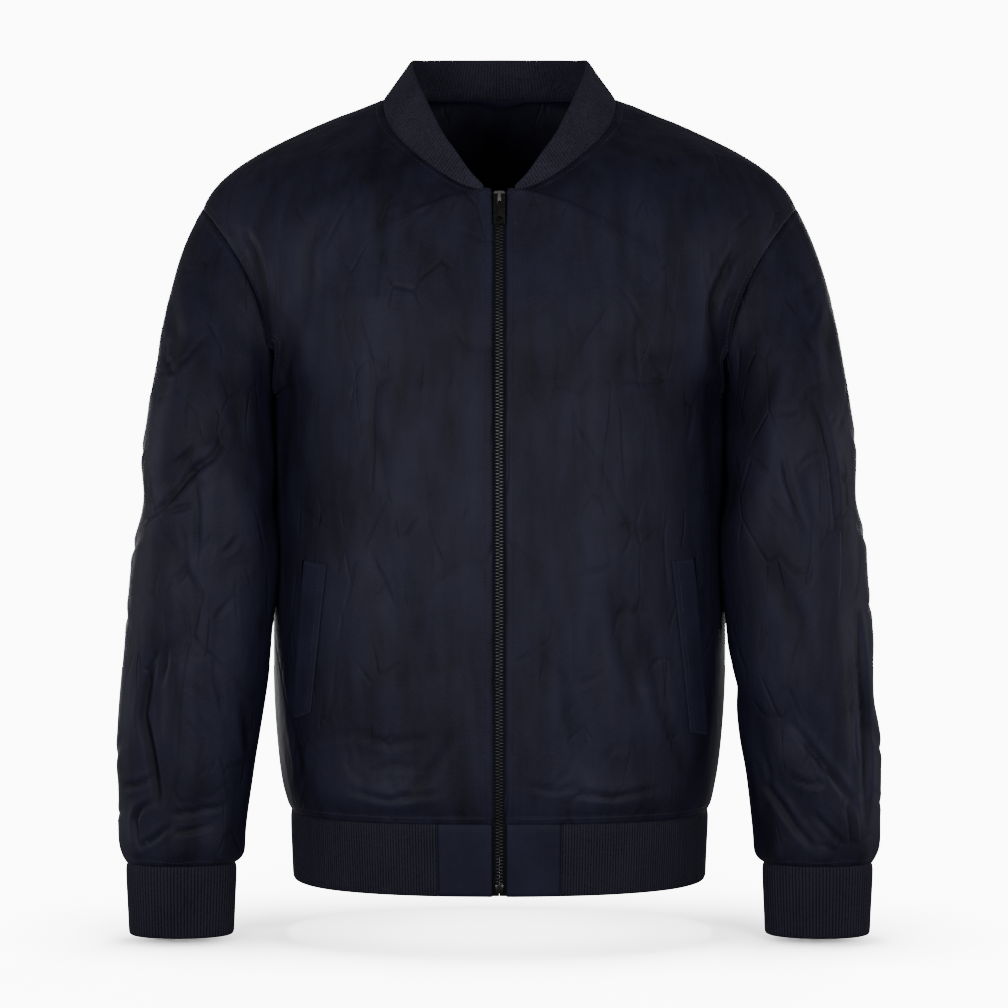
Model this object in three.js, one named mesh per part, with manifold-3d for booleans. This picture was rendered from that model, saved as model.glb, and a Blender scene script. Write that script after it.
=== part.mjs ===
// A bomber jacket, zipped up and filled out as if worn, with nothing inside it.
// Millimetres, +Z up. The front faces -Y and the wearer's left is +X.
// The origin is the middle of the neck, level with the tops of the shoulder seams.
import * as THREE from 'three';
import { mergeVertices } from 'three/addons/utils/BufferGeometryUtils.js';
import Module from 'manifold-3d';

const wasm = await Module();
wasm.setup();

const vec = (x, y, z) => new THREE.Vector3(x, y, z);
const lerp = (a, b, t) => a.clone().lerp(b, t);

// Cloth and seams
const CLOTH = 1.6;
const RIB_CLOTH = 2.4;
const RIB_RELIEF = 0.8;
const SEAM_GAP = 0.3;
const SEAM_SHARE = 0.65;
const HEM_INSIDE_SIDES = 48;
const CUFF_INSIDE_SIDES = 20;
const HEM_RIB_PITCH = 2.5;
const CUFF_RIB_PITCH = 3.0;
const COLLAR_RIB_PITCH = 3.0;

// Body heights and places
const HEM_BOTTOM = -702;
const HEM_SEAM = -640;
const UNDERARM = vec(201, 8, -274);
const SHOULDER_POINT = vec(268, 8, -101);
const FRONT_NECK = -98;
const BACK_NECK = 9.5;
const SIDE_SEAM_Y = 6;

// Zip
const ZIP_OPEN_HALF = 6.4;
const ZIP_DEPTH = 3.3;
const TAB_END = 53;
const TAB_COLUMNS = 4;

// The grid of each panel
const PANEL_COLUMNS = 12;
const ARMHOLE_STEPS = 12;
const FRONT_EDGE_STEPS = 5;
const BACK_SEAM_STEPS = 7;
const SIDE_LEVELS = [-640, -632, -618, -592, -556, -515, -470, -425, -380, -340, -305];

// How square the body is, seen from above: 0.55 is an ellipse and 1 a rectangle.
const FULLNESS = 0.66;

// Sections of the body by height: half width, and depth to the front and back.
const BODY = [
  { z: -640, half: 187.0, front: 136.0, back: 127.0 },
  { z: -632, half: 190.5, front: 138.5, back: 131.5 },
  { z: -618, half: 194.0, front: 141.5, back: 134.5 },
  { z: -580, half: 199.0, front: 145.0, back: 136.0 },
  { z: -515, half: 200.5, front: 148.0, back: 137.0 },
  { z: -430, half: 200.5, front: 150.0, back: 139.0 },
  { z: -345, half: 200.6, front: 149.0, back: 143.0 },
  { z: -305, half: 200.3, front: 147.5, back: 145.5 },
  { z: -274, half: 201.0, front: 146.0, back: 146.5 },
  { z: -238, half: 201.0, front: 143.0, back: 147.0 },
  { z: -203, half: 201.0, front: 138.5, back: 146.0 },
  { z: -168, half: 201.0, front: 131.5, back: 141.5 },
  { z: -133, half: 201.0, front: 122.5, back: 136.0 },
  { z: -98, half: 201.0, front: 111.5, back: 127.0 },
  { z: -60, half: 201.0, front: 100.0, back: 114.0 },
  { z: -25, half: 201.0, front: 100.0, back: 97.0 },
  { z: 9.5, half: 201.0, front: 100.0, back: 80.0 },
];

// Handles of the upper rows, counted from the underarm up to the shoulder seam.
const UPPER_FRONT = [
  { row: 0, start: [132, 0, 0], end: [-5, -101, 0] },
  { row: 3, start: [96, -8, -8], end: [-14, -76, 14] },
  { row: 6, start: [70, -16, -8], end: [-48, -48, 24] },
  { row: 9, start: [50, -24, -8], end: [-42, -26, 38] },
  { row: 11, start: [46, -12, -15], end: [-24, -10, 48] },
  { row: 12, start: [44, -8, -21], end: [-18, -4, 51] },
];
const UPPER_BACK = [
  { row: 0, start: [132, 0, 0], end: [0, 93, 0] },
  { row: 3, start: [108, 0, 0], end: [-8, 68, 10] },
  { row: 6, start: [84, 8, -8], end: [-34, 38, 34] },
  { row: 9, start: [56, 16, -9], end: [-28, 16, 48] },
  { row: 11, start: [48, 6, -17], end: [-21, 4, 53] },
  { row: 12, start: [44, -8, -21], end: [-18, -4, 51] },
];

// Stations of the neck on the wearer's left, from the zip round to the middle of the back:
// the seam with the body and the collar's free edge.
const NECK = [
  { seam: [14, -110.8, -97.5], edge: [14.5, -110, -92.5] },
  { seam: [32, -105, -91.5], edge: [25, -104, -80.5] },
  { seam: [50, -97.5, -81], edge: [37, -97, -63] },
  { seam: [67.5, -86, -67], edge: [50, -86, -43.5] },
  { seam: [86, -66, -49.5], edge: [62, -68, -18] },
  { seam: [100, -38, -28.5], edge: [73, -42, 7] },
  { seam: [105.5, 2, -5], edge: [79, -4, 26] },
  { seam: [102, 32, 3], edge: [79, 33, 38] },
  { seam: [85, 56, 7], edge: [70, 56, 41.5] },
  { seam: [60, 71, 9], edge: [50, 71, 44] },
  { seam: [31, 78, 9.5], edge: [26, 78, 45] },
  { seam: [0, 80, 9.5], edge: [0, 80, 45.5] },
];
const SHOULDER_STATION = 6;

// Sections of the sleeve: its outer and inner line, the middle of its depth and half its depth.
const SLEEVE = [
  { outer: [268, -101], inner: [201, -274], y: 8, depth: 80, bow: 22 },
  { outer: [280, -128], inner: [203.5, -287], y: 1.5, depth: 80, bow: 15 },
  { outer: [288, -155], inner: [201.5, -304], y: -9, depth: 78, bow: 9 },
  { outer: [294, -182], inner: [199.5, -323], y: -20.5, depth: 75, bow: 4 },
  { outer: [299, -210], inner: [198.8, -343], y: -31.5, depth: 72, bow: 1 },
  { outer: [303.5, -240], inner: [197.8, -364], y: -40.5, depth: 69, bow: 0 },
  { outer: [308, -270], inner: [196.8, -385], y: -46.5, depth: 67, bow: 0 },
  { outer: [312, -300], inner: [196.4, -406], y: -49.5, depth: 65, bow: 0 },
  { outer: [315.5, -331], inner: [197.4, -428], y: -51, depth: 63, bow: 0 },
  { outer: [318.5, -362], inner: [199.8, -450], y: -51, depth: 61.5, bow: 0 },
  { outer: [321.5, -394], inner: [203, -473], y: -51, depth: 60, bow: 0 },
  { outer: [324.5, -426], inner: [205, -497], y: -51, depth: 59, bow: 0 },
  { outer: [327.5, -459], inner: [207, -522], y: -51, depth: 58, bow: 0 },
  { outer: [330.5, -493], inner: [209.5, -547], y: -51, depth: 57, bow: 0 },
  { outer: [334, -528], inner: [212.5, -573], y: -50.5, depth: 55, bow: 0 },
  { outer: [336, -562], inner: [216, -598], y: -50.5, depth: 53, bow: 0 },
  { outer: [336.5, -596], inner: [219.5, -622], y: -50, depth: 51, bow: 0 },
  { outer: [336, -626], inner: [222.5, -644], y: -50, depth: 48, bow: 0 },
  { outer: [335, -652], inner: [225, -662], y: -50, depth: 45, bow: 0 },
  { outer: [333, -671], inner: [227, -675], y: -50, depth: 41, bow: 0 },
  { outer: [328.5, -683], inner: [232.5, -683], y: -50, depth: 35, bow: 0 },
];
const GATHERS = 8;
const GATHER_RISE = 2.2;
const GATHER_LENGTH = 45;

const CUFF = { x: 280.5, y: -50, top: -683, bottom: -746, half: 48, depth: 35, taper: 3 };

// Largest folds, in the plane that each is seen in: (x, z) from the front or back and (y, z) from the
// side. A negative rise is a trough. x is on the wearer's left here, and each list serves one panel.
const FOLDS = {
  front_left: [
    { view: 'front', from: [120, -255], to: [122, -215], width: 12, rise: -3 },
    { view: 'front', from: [113, -256], to: [152, -254], width: 10, rise: -3 },
    { view: 'front', from: [190, -150], to: [186, -235], width: 13, rise: -7 },
    { view: 'front', from: [172, -140], to: [176, -245], width: 14, rise: 4 },
    { view: 'front', from: [98, -455], to: [122, -530], width: 16, rise: -5 },
    { view: 'front', from: [52, -515], to: [72, -585], width: 15, rise: -4 },
    { view: 'front', from: [128, -480], to: [150, -600], width: 13, rise: -4 },
    { view: 'front', from: [60, -610], to: [150, -622], width: 8, rise: 3 },
  ],
  front_right: [
    { view: 'front', from: [190, -160], to: [198, -262], width: 13, rise: 4 },
    { view: 'front', from: [176, -170], to: [182, -250], width: 12, rise: -5 },
    { view: 'front', from: [62, -560], to: [130, -566], width: 9, rise: -4 },
    { view: 'front', from: [70, -592], to: [112, -596], width: 9, rise: -3.5 },
    { view: 'front', from: [96, -430], to: [70, -520], width: 15, rise: -3.5 },
    { view: 'front', from: [60, -612], to: [150, -618], width: 8, rise: 3 },
  ],
  back: [
    { view: 'back', from: [150, -150], to: [120, -300], width: 18, rise: -6 },
    { view: 'back', from: [-152, -160], to: [-112, -290], width: 18, rise: -5 },
    { view: 'back', from: [60, -380], to: [96, -560], width: 18, rise: -5 },
    { view: 'back', from: [-40, -400], to: [-84, -585], width: 18, rise: -6 },
    { view: 'back', from: [-120, -520], to: [-30, -606], width: 14, rise: -4 },
    { view: 'back', from: [20, -596], to: [130, -606], width: 12, rise: -4 },
    { view: 'back', from: [0, -90], to: [8, -260], width: 22, rise: -3 },
  ],
  sleeve_left: [
    { view: 'front', from: [268, -345], to: [282, -366], width: 12, rise: -5 },
    { view: 'front', from: [258, -325], to: [272, -385], width: 13, rise: -5 },
    { view: 'side', from: [-60, -360], to: [0, -300], width: 15, rise: -6 },
    { view: 'side', from: [-80, -560], to: [-20, -500], width: 14, rise: -6 },
    { view: 'front', from: [262, -560], to: [312, -620], width: 12, rise: -6 },
    { view: 'front', from: [240, -612], to: [275, -650], width: 11, rise: -5 },
    { view: 'front', from: [310, -470], to: [318, -600], width: 13, rise: -7 },
    { view: 'back', from: [230, -370], to: [310, -330], width: 14, rise: -6 },
    { view: 'back', from: [225, -430], to: [315, -400], width: 14, rise: -5 },
    { view: 'back', from: [235, -600], to: [320, -570], width: 12, rise: -6 },
  ],
  sleeve_right: [
    { view: 'front', from: [300, -240], to: [272, -225], width: 12, rise: -4 },
    { view: 'front', from: [240, -305], to: [318, -375], width: 12, rise: -5 },
    { view: 'front', from: [268, -340], to: [266, -425], width: 13, rise: -4 },
    { view: 'front', from: [306, -512], to: [300, -625], width: 12, rise: -8 },
    { view: 'front', from: [290, -506], to: [294, -545], width: 11, rise: -4 },
    { view: 'front', from: [335, -622], to: [300, -612], width: 10, rise: -6 },
    { view: 'front', from: [312, -650], to: [255, -640], width: 9, rise: -5 },
    { view: 'side', from: [-70, -380], to: [-5, -330], width: 15, rise: -6 },
    { view: 'back', from: [230, -360], to: [310, -345], width: 14, rise: -6 },
    { view: 'back', from: [225, -440], to: [315, -395], width: 14, rise: -5 },
    { view: 'back', from: [235, -590], to: [320, -580], width: 12, rise: -6 },
  ],
};

// Smooth curve through one column of a table whose rows rise in the key column.
function smooth(rows, key, name) {
  const value = (row, part) => (part === null ? row[name] : row[name][part]);
  const curve = (at, part) => {
    let i = 0;
    while (i < rows.length - 2 && at > rows[i + 1][key]) i += 1;
    const [a, b] = [rows[i], rows[i + 1]];
    const span = b[key] - a[key];
    const t = THREE.MathUtils.clamp((at - a[key]) / span, 0, 1);
    const slope = (k) => {
      const before = rows[Math.max(k - 1, 0)];
      const after = rows[Math.min(k + 1, rows.length - 1)];
      return (value(after, part) - value(before, part)) / (after[key] - before[key]);
    };
    const [p, q] = [value(a, part), value(b, part)];
    const [m, n] = [slope(i) * span, slope(i + 1) * span];
    const [t2, t3] = [t * t, t * t * t];
    return (2 * t3 - 3 * t2 + 1) * p + (t3 - 2 * t2 + t) * m + (3 * t2 - 2 * t3) * q + (t3 - t2) * n;
  };
  return (at) => {
    if (!Array.isArray(rows[0][name])) return curve(at, null);
    return vec(curve(at, 0), curve(at, 1), curve(at, 2));
  };
}

const halfWidth = smooth(BODY, 'z', 'half');
const frontDepth = smooth(BODY, 'z', 'front');
const backDepth = smooth(BODY, 'z', 'back');

// Seams that pieces share, and the direction in which the walls are thick along them.

// Ring of the sleeve at one section. Angle 0 is its outer line, and it turns to the front.
function sleevePoint(section, angle) {
  const outer = vec(section.outer[0], section.y, section.outer[1]);
  const inner = vec(section.inner[0], section.y, section.inner[1]);
  const reach = outer.clone().sub(inner).multiplyScalar(0.5);
  const middle = lerp(outer, inner, 0.5);
  const side = Math.sin(angle);
  const bow = section.bow * side * side * (side > 0 ? 1 : 0.5);
  return middle.addScaledVector(reach, Math.cos(angle)).add(vec(-bow, -section.depth * side, 0));
}

const ARMHOLE_UP = SHOULDER_POINT.clone().sub(UNDERARM).setY(0).normalize();
const armholeAngle = (row) => Math.PI * (1 - row / ARMHOLE_STEPS);
const armholePoint = (angle) => sleevePoint(SLEEVE[0], angle);
const armholeOut = (angle) =>
  ARMHOLE_UP.clone().multiplyScalar(Math.cos(angle)).add(vec(0, -Math.sin(angle), 0)).normalize();

const neckSeam = (station) => vec(...NECK[station].seam);
const neckEdge = (station) => vec(...NECK[station].edge);

// Walls face outward at the front of the neck seam, and lean to face upward as the seam climbs.
const NECK_LEAN = { middleY: -15, climb: 90, low: 0.25, high: 1 };
function neckOut(station) {
  const seam = neckSeam(station);
  const climbed = THREE.MathUtils.clamp((seam.z - FRONT_NECK) / NECK_LEAN.climb, 0, 1);
  const outward = vec(seam.x, seam.y - NECK_LEAN.middleY, 0).normalize();
  outward.z = THREE.MathUtils.lerp(NECK_LEAN.low, NECK_LEAN.high, climbed);
  return outward.normalize();
}

const shoulderOut = (t) => neckOut(SHOULDER_STATION).lerp(armholeOut(0), t).normalize();

// Rows of half a front or back on the wearer's left, from the hem seam up to the shoulder seam.
// Each row runs from the zip, middle of the back or neckline to the side seam or armhole.
function panelRows(isFront) {
  const facing = isFront ? -1 : 1;
  const depth = isFront ? frontDepth : backDepth;
  const inset = isFront ? ZIP_OPEN_HALF : 0;
  const steps = isFront ? FRONT_EDGE_STEPS : BACK_SEAM_STEPS;
  const top = isFront ? FRONT_NECK : BACK_NECK;
  const handles = isFront ? UPPER_FRONT : UPPER_BACK;
  const startHandle = smooth(handles, 'row', 'start');
  const endHandle = smooth(handles, 'row', 'end');
  const lower = SIDE_LEVELS.map((z) => ({
    start: vec(inset, facing * depth(z), z),
    end: vec(halfWidth(z), SIDE_SEAM_Y, z),
    startHandle: vec(FULLNESS * halfWidth(z), 0, 0),
    endHandle: vec(0, facing * FULLNESS * (depth(z) - facing * SIDE_SEAM_Y), 0),
    startOut: isFront ? vec(0, -1, 0) : null,
    endOut: vec(1, 0, 0),
    onNeck: false,
  }));
  const upper = Array.from({ length: ARMHOLE_STEPS + 1 }, (_, row) => {
    const angle = armholeAngle(row) * -facing;
    const z = THREE.MathUtils.lerp(UNDERARM.z, top, Math.min(row / steps, 1));
    const station = isFront ? row - steps - 1 : NECK.length - 1 - (row - steps);
    const onNeck = row >= steps;
    const atCorner = isFront && row === steps;
    const start = onNeck && !atCorner ? neckSeam(station) : vec(inset, facing * depth(z), z);
    const neckDirection = onNeck ? neckOut(Math.max(station, 0)) : null;
    return {
      start,
      end: armholePoint(angle),
      startHandle: startHandle(row),
      endHandle: endHandle(row),
      startOut: neckDirection ?? (isFront ? vec(0, -1, 0) : null),
      endOut: armholeOut(angle),
      onNeck,
    };
  });
  return [...lower, ...upper];
}

// Corner points of half a front or back: where each lies, whether a seam holds it, the direction in
// which the wall is thick there, and the step that keeps the seam gap.
function halfPanel(isFront) {
  const rows = panelRows(isFront);
  const last = rows.length - 1;
  const grid = rows.map((row) => {
    const first = row.start.clone().add(row.startHandle);
    const second = row.end.clone().add(row.endHandle);
    const curve = new THREE.CubicBezierCurve3(row.start, first, second, row.end);
    return Array.from({ length: PANEL_COLUMNS + 1 }, (_, c) => curve.getPoint(c / PANEL_COLUMNS));
  });
  return grid.map((line, r) => line.map((point, c) => {
    const corner = { at: point, out: null, trim: vec(0, 0, 0), fixed: false };
    const holdTo = (neighbour, out) => {
      corner.fixed = true;
      corner.out = out ?? corner.out;
      if (neighbour) corner.trim.add(neighbour.clone().sub(point).setLength(SEAM_GAP * SEAM_SHARE));
    };
    if (c === 0 && rows[r].startOut) holdTo(rows[r].onNeck ? line[1] : null, rows[r].startOut);
    if (c === 0 && rows[r].onNeck && r < last) holdTo(grid[r - 1][0], null);
    if (r === 0) holdTo(grid[1][c], levelOut(grid[0], c));
    if (r === last) holdTo(grid[r - 1][c], shoulderOut(c / PANEL_COLUMNS));
    if (c === PANEL_COLUMNS) holdTo(line[c - 1], rows[r].endOut);
    return corner;
  }));
}

// Level direction out of a line of points, seen from above.
function levelOut(line, c) {
  const along = line[Math.min(c + 1, line.length - 1)].clone().sub(line[Math.max(c - 1, 0)]);
  const out = vec(along.y, -along.x, 0).normalize();
  return out.x < 0 ? out.negate() : out;
}

const flip = (v) => v && vec(-v.x, v.y, v.z);
const mirrorLine = (line) =>
  line.map((corner) => ({ ...corner, at: flip(corner.at), out: flip(corner.out), trim: flip(corner.trim) }));
const mirrorPanel = (grid) => grid.map((line) => mirrorLine(line).reverse());

const mirrorFolds = (folds) => folds.map((fold) => (fold.view === 'side' ? fold : {
  ...fold, from: [-fold.from[0], fold.from[1]], to: [-fold.to[0], fold.to[1]],
}));

// How far a fold lifts a point: full along its line, fading over its width and at its ends.
function foldRise(fold, point, normal) {
  const facing = { front: -normal.y, back: normal.y, side: Math.abs(normal.x) }[fold.view];
  if (facing <= 0) return 0;
  const across = fold.view === 'side' ? point.y : point.x;
  const [ax, az] = fold.from;
  const [bx, bz] = fold.to;
  const length2 = (bx - ax) ** 2 + (bz - az) ** 2;
  const t = THREE.MathUtils.clamp(((across - ax) * (bx - ax) + (point.z - az) * (bz - az)) / length2, 0, 1);
  const away2 = (across - ax - t * (bx - ax)) ** 2 + (point.z - az - t * (bz - az)) ** 2;
  return fold.rise * Math.sqrt(facing) * Math.exp(-away2 / fold.width ** 2);
}

function indexed(points, faces) {
  const geometry = new THREE.BufferGeometry();
  geometry.setAttribute('position', new THREE.Float32BufferAttribute(points.flatMap((p) => p.toArray()), 3));
  geometry.setIndex(faces.flat());
  geometry.computeVertexNormals();
  return geometry;
}

function normalsOf(points, faces) {
  const normals = points.map(() => vec(0, 0, 0));
  for (const face of faces) {
    const [a, b, c] = face.map((id) => points[id]);
    const turn = b.clone().sub(a).cross(c.clone().sub(a));
    face.forEach((id) => normals[id].add(turn));
  }
  return normals.map((normal) => normal.normalize());
}

// Closed cloth wall on one or more grids of corners, which may share corners. Folds move what no seam
// holds, and every open edge of the sheet is closed by a rim.
function clothWall(grids, folds = [], { wrap = false, swell = () => 0 } = {}) {
  const corners = [...new Set(grids.flat(2))];
  const id = new Map(corners.map((corner, i) => [corner, i]));
  const faces = grids.flatMap((grid) => grid.slice(1).flatMap((above, r) => {
    const below = grid[r];
    const n = below.length;
    return below.slice(0, wrap ? n : n - 1).flatMap((_, c) => {
      const beside = (c + 1) % n;
      const quad = [below[c], below[beside], above[beside], above[c]].map((corner) => id.get(corner));
      return [[quad[0], quad[1], quad[2]], [quad[0], quad[2], quad[3]]];
    });
  }));
  const plain = normalsOf(corners.map((corner) => corner.at), faces);
  const outer = corners.map((corner, i) => {
    if (corner.fixed) return corner.at.clone();
    const rise = folds.reduce((sum, fold) => sum + foldRise(fold, corner.at, plain[i]), swell(corner));
    return corner.at.clone().addScaledVector(plain[i], rise);
  });
  const normals = normalsOf(outer, faces);
  corners.forEach((corner, i) => outer[i].add(corner.trim));
  const inner = outer.map((point, i) => point.clone().addScaledVector(corners[i].out ?? normals[i], -CLOTH));
  const count = outer.length;
  const edges = new Set(faces.flatMap(([a, b, c]) => [[a, b], [b, c], [c, a]].map((edge) => edge.join())));
  const isOpen = ([a, b]) => !edges.has(b + ',' + a);
  const rims = [...edges].map((edge) => edge.split(',').map(Number)).filter(isOpen);
  const inside = faces.map(([a, b, c]) => [a + count, c + count, b + count]);
  const rim = rims.flatMap(([a, b]) => [[b, a, a + count], [b, a + count, b + count]]);
  const pick = (points) => (line) => line.map((corner) => points[id.get(corner)]);
  const layer = (points) => grids.map((grid) => grid.map(pick(points)));
  return {
    geometry: indexed([...outer, ...inner], [...faces, ...inside, ...rim]),
    outer: layer(outer),
    inner: layer(inner),
  };
}

// Closed wall between an outer and an inner grid of points, whose numbers of columns may differ.
function closedWall(outer, inner, wrap = false) {
  const points = [];
  const number = (grid) => grid.map((line) => line.map((point) => points.push(point) - 1));
  const [out, into] = [number(outer), number(inner)];
  const faces = [];
  const sheet = (ids, inward) => {
    for (let r = 0; r + 1 < ids.length; r += 1) {
      const n = ids[r].length;
      for (let c = 0; c < (wrap ? n : n - 1); c += 1) {
        const d = (c + 1) % n;
        const quad = [ids[r][c], ids[r][d], ids[r + 1][d], ids[r + 1][c]];
        if (inward) quad.reverse();
        faces.push([quad[0], quad[1], quad[2]], [quad[0], quad[2], quad[3]]);
      }
    }
  };
  sheet(out, false);
  sheet(into, true);
  const rim = (outLine, inLine, isTop) => {
    const [a, b] = [outLine, inLine].map((line) => (wrap ? [...line, line[0]] : line));
    let [i, j] = [0, 0];
    while (i + 1 < a.length || j + 1 < b.length) {
      const outIsBehind = (i + 1) * (b.length - 1) <= (j + 1) * (a.length - 1);
      const stepOut = j + 1 >= b.length || (i + 1 < a.length && outIsBehind);
      const face = stepOut ? [a[i], b[j], a[i + 1]] : [a[i], b[j], b[j + 1]];
      faces.push(isTop ? face.reverse() : face);
      if (stepOut) i += 1;
      else j += 1;
    }
  };
  rim(out[0], into[0], false);
  rim(out.at(-1), into.at(-1), true);
  for (let r = 0; r + 1 < out.length && !wrap; r += 1) {
    const [a, b, c, d] = [out[r][0], out[r + 1][0], into[r + 1][0], into[r][0]];
    const [e, f, g, h] = [out[r].at(-1), out[r + 1].at(-1), into[r + 1].at(-1), into[r].at(-1)];
    faces.push([a, b, c], [a, c, d], [e, g, f], [e, h, g]);
  }
  return indexed(points, faces);
}

// Rib knit: ridges raised on the outer points of a wall with a plain inside. face(column, height) and
// out(column, height) give its plain outer face and the direction that it faces.
function ribWall({ face, out, columns, insideColumns, heights, relief, wrap = false }) {
  const outer = heights.map((h) => columns.map((column, i) =>
    face(column, h).addScaledVector(out(column, h), i % 2 === 1 ? RIB_RELIEF * relief(h) : 0)));
  const inner = heights.map((h) => insideColumns.map((column) =>
    face(column, h).addScaledVector(out(column, h), -RIB_CLOTH)));
  return closedWall(outer, inner, wrap);
}

const evenSteps = (from, to, steps) =>
  Array.from({ length: steps + 1 }, (_, i) => THREE.MathUtils.lerp(from, to, i / steps));

// Sleeve on the wearer's left: rings from the armhole down to the cuff seam.
function sleeveGrid() {
  const columns = ARMHOLE_STEPS * 2;
  const rings = SLEEVE.map((section) =>
    Array.from({ length: columns }, (_, c) => sleevePoint(section, (2 * Math.PI * c) / columns)));
  const last = rings.length - 1;
  return rings.map((ring, r) => ring.map((point, c) => {
    const angle = (2 * Math.PI * c) / columns;
    const fixed = r === 0 || r === last;
    const next = r === 0 ? rings[1][c] : rings[last - 1][c];
    const cuffOut = vec(Math.cos(angle), -Math.sin(angle), 0);
    return {
      at: point,
      angle,
      fixed,
      out: fixed ? (r === 0 ? armholeOut(angle) : cuffOut) : null,
      trim: fixed ? next.clone().sub(point).setLength(SEAM_GAP * SEAM_SHARE) : vec(0, 0, 0),
    };
  }));
}

// The sleeve's fullness stands in soft gathers above the cuff.
function gather(corner) {
  const near = THREE.MathUtils.clamp(1 - (corner.at.z - CUFF.top) / GATHER_LENGTH, 0, 1);
  return GATHER_RISE * near * Math.cos(GATHERS * corner.angle);
}

// Hem band: the loop that its outer face follows, from the zip round by the wearer's left.
const HEM_FALL = { half: 2.5, depth: 3.5 };
function hemLoop(height) {
  const low = 1 - height;
  const half = halfWidth(HEM_SEAM) - HEM_FALL.half * low;
  const front = frontDepth(HEM_SEAM) - HEM_FALL.depth * low;
  const back = backDepth(HEM_SEAM) - HEM_FALL.depth * low;
  const z = THREE.MathUtils.lerp(HEM_BOTTOM, HEM_SEAM - SEAM_GAP, height);
  const arc = (side, depth, start) => {
    const middle = vec(0, depth, z);
    const edge = vec(side * half, SIDE_SEAM_Y, z);
    const first = vec(side * half * FULLNESS, depth, z);
    const second = vec(side * half, SIDE_SEAM_Y + (depth - SIDE_SEAM_Y) * FULLNESS, z);
    return start === 'middle'
      ? new THREE.CubicBezierCurve3(middle, first, second, edge)
      : new THREE.CubicBezierCurve3(edge, second, first, middle);
  };
  const loop = new THREE.CurvePath();
  loop.add(arc(1, -front, 'middle'));
  loop.add(arc(1, back, 'side'));
  loop.add(arc(-1, back, 'middle'));
  loop.add(arc(-1, -front, 'side'));
  return loop;
}

const hemLoops = new Map([0, 1].map((height) => [height, hemLoop(height)]));
const hemFace = (turn, height) => hemLoops.get(height).getPointAt(((turn % 1) + 1) % 1);
const hemOut = (turn, height) => {
  const along = hemLoops.get(height).getTangentAt(((turn % 1) + 1) % 1);
  return vec(along.y, -along.x, 0).normalize();
};
const hemLength = hemLoops.get(1).getLength();

function hemRib() {
  const from = (TAB_END + SEAM_GAP) / hemLength;
  const ribs = Math.round((hemLength * (1 - 2 * from)) / HEM_RIB_PITCH);
  return ribWall({
    face: hemFace,
    out: hemOut,
    columns: evenSteps(from, 1 - from, 2 * ribs),
    insideColumns: evenSteps(from, 1 - from, HEM_INSIDE_SIDES),
    heights: [0, 1],
    relief: () => 1,
  });
}

function hemTab(side) {
  const turns = evenSteps((side * ZIP_OPEN_HALF) / hemLength, (side * TAB_END) / hemLength, TAB_COLUMNS);
  if (side < 0) turns.reverse();
  const grid = (inward) => [0, 1].map((h) =>
    turns.map((turn) => hemFace(turn, h).addScaledVector(hemOut(turn, h), -inward)));
  return closedWall(grid(0), grid(RIB_CLOTH));
}

function cuff(side) {
  const ring = (height) => {
    const narrow = CUFF.taper * (1 - height);
    const [half, depth] = [CUFF.half - narrow, CUFF.depth - narrow];
    return new THREE.EllipseCurve(side * CUFF.x, CUFF.y, half, depth, 0, 2 * Math.PI);
  };
  const rings = new Map([0, 1].map((height) => [height, ring(height)]));
  const ribs = Math.round(rings.get(1).getLength() / CUFF_RIB_PITCH);
  const level = (height) => THREE.MathUtils.lerp(CUFF.bottom, CUFF.top - SEAM_GAP, height);
  return ribWall({
    face: (turn, h) => {
      const spot = rings.get(h).getPointAt(turn);
      return vec(spot.x, spot.y, level(h));
    },
    out: (turn, h) => {
      const along = rings.get(h).getTangentAt(turn);
      return vec(along.y, -along.x, 0).normalize();
    },
    columns: evenSteps(0, 1, 2 * ribs).slice(0, -1),
    insideColumns: evenSteps(0, 1, CUFF_INSIDE_SIDES).slice(0, -1),
    heights: [0, 1],
    relief: () => 1,
    wrap: true,
  });
}

// Collar: a band between the neck seam and its free edge, straight between the shared stations.
function collar() {
  const half = NECK.map((_, i) => ({ seam: neckSeam(i), edge: neckEdge(i), seamOut: neckOut(i) }));
  const other = half.slice(0, -1).reverse().map((s) => ({
    seam: flip(s.seam), edge: flip(s.edge), seamOut: flip(s.seamOut),
  }));
  const stations = [...half, ...other];
  stations.forEach((station, i) => {
    const before = stations[Math.max(i - 1, 0)];
    const after = stations[Math.min(i + 1, stations.length - 1)];
    const along = after.seam.clone().sub(before.seam).add(after.edge).sub(before.edge);
    station.faceOut = along.cross(station.edge.clone().sub(station.seam)).normalize();
    const toEdge = station.edge.clone().sub(station.seam);
    station.seam = station.seam.clone().add(toEdge.setLength(SEAM_GAP * SEAM_SHARE));
  });
  const between = (at, name) => {
    const i = Math.min(Math.floor(at), stations.length - 2);
    return lerp(stations[i][name], stations[i + 1][name], at - i);
  };
  const columns = stations.slice(1).flatMap((station, i) => {
    const length = station.seam.distanceTo(stations[i].seam);
    return evenSteps(i, i + 1, 2 * Math.round(length / COLLAR_RIB_PITCH)).slice(0, -1);
  });
  return ribWall({
    face: (at, h) => lerp(between(at, 'seam'), between(at, 'edge'), h),
    out: (at, h) => lerp(between(at, 'seamOut'), between(at, 'faceOut'), h).normalize(),
    columns: [...columns, stations.length - 1],
    insideColumns: stations.map((_, i) => i),
    heights: [0, 1],
    relief: (h) => (h === 0 ? 0 : 1),
  });
}

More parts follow.
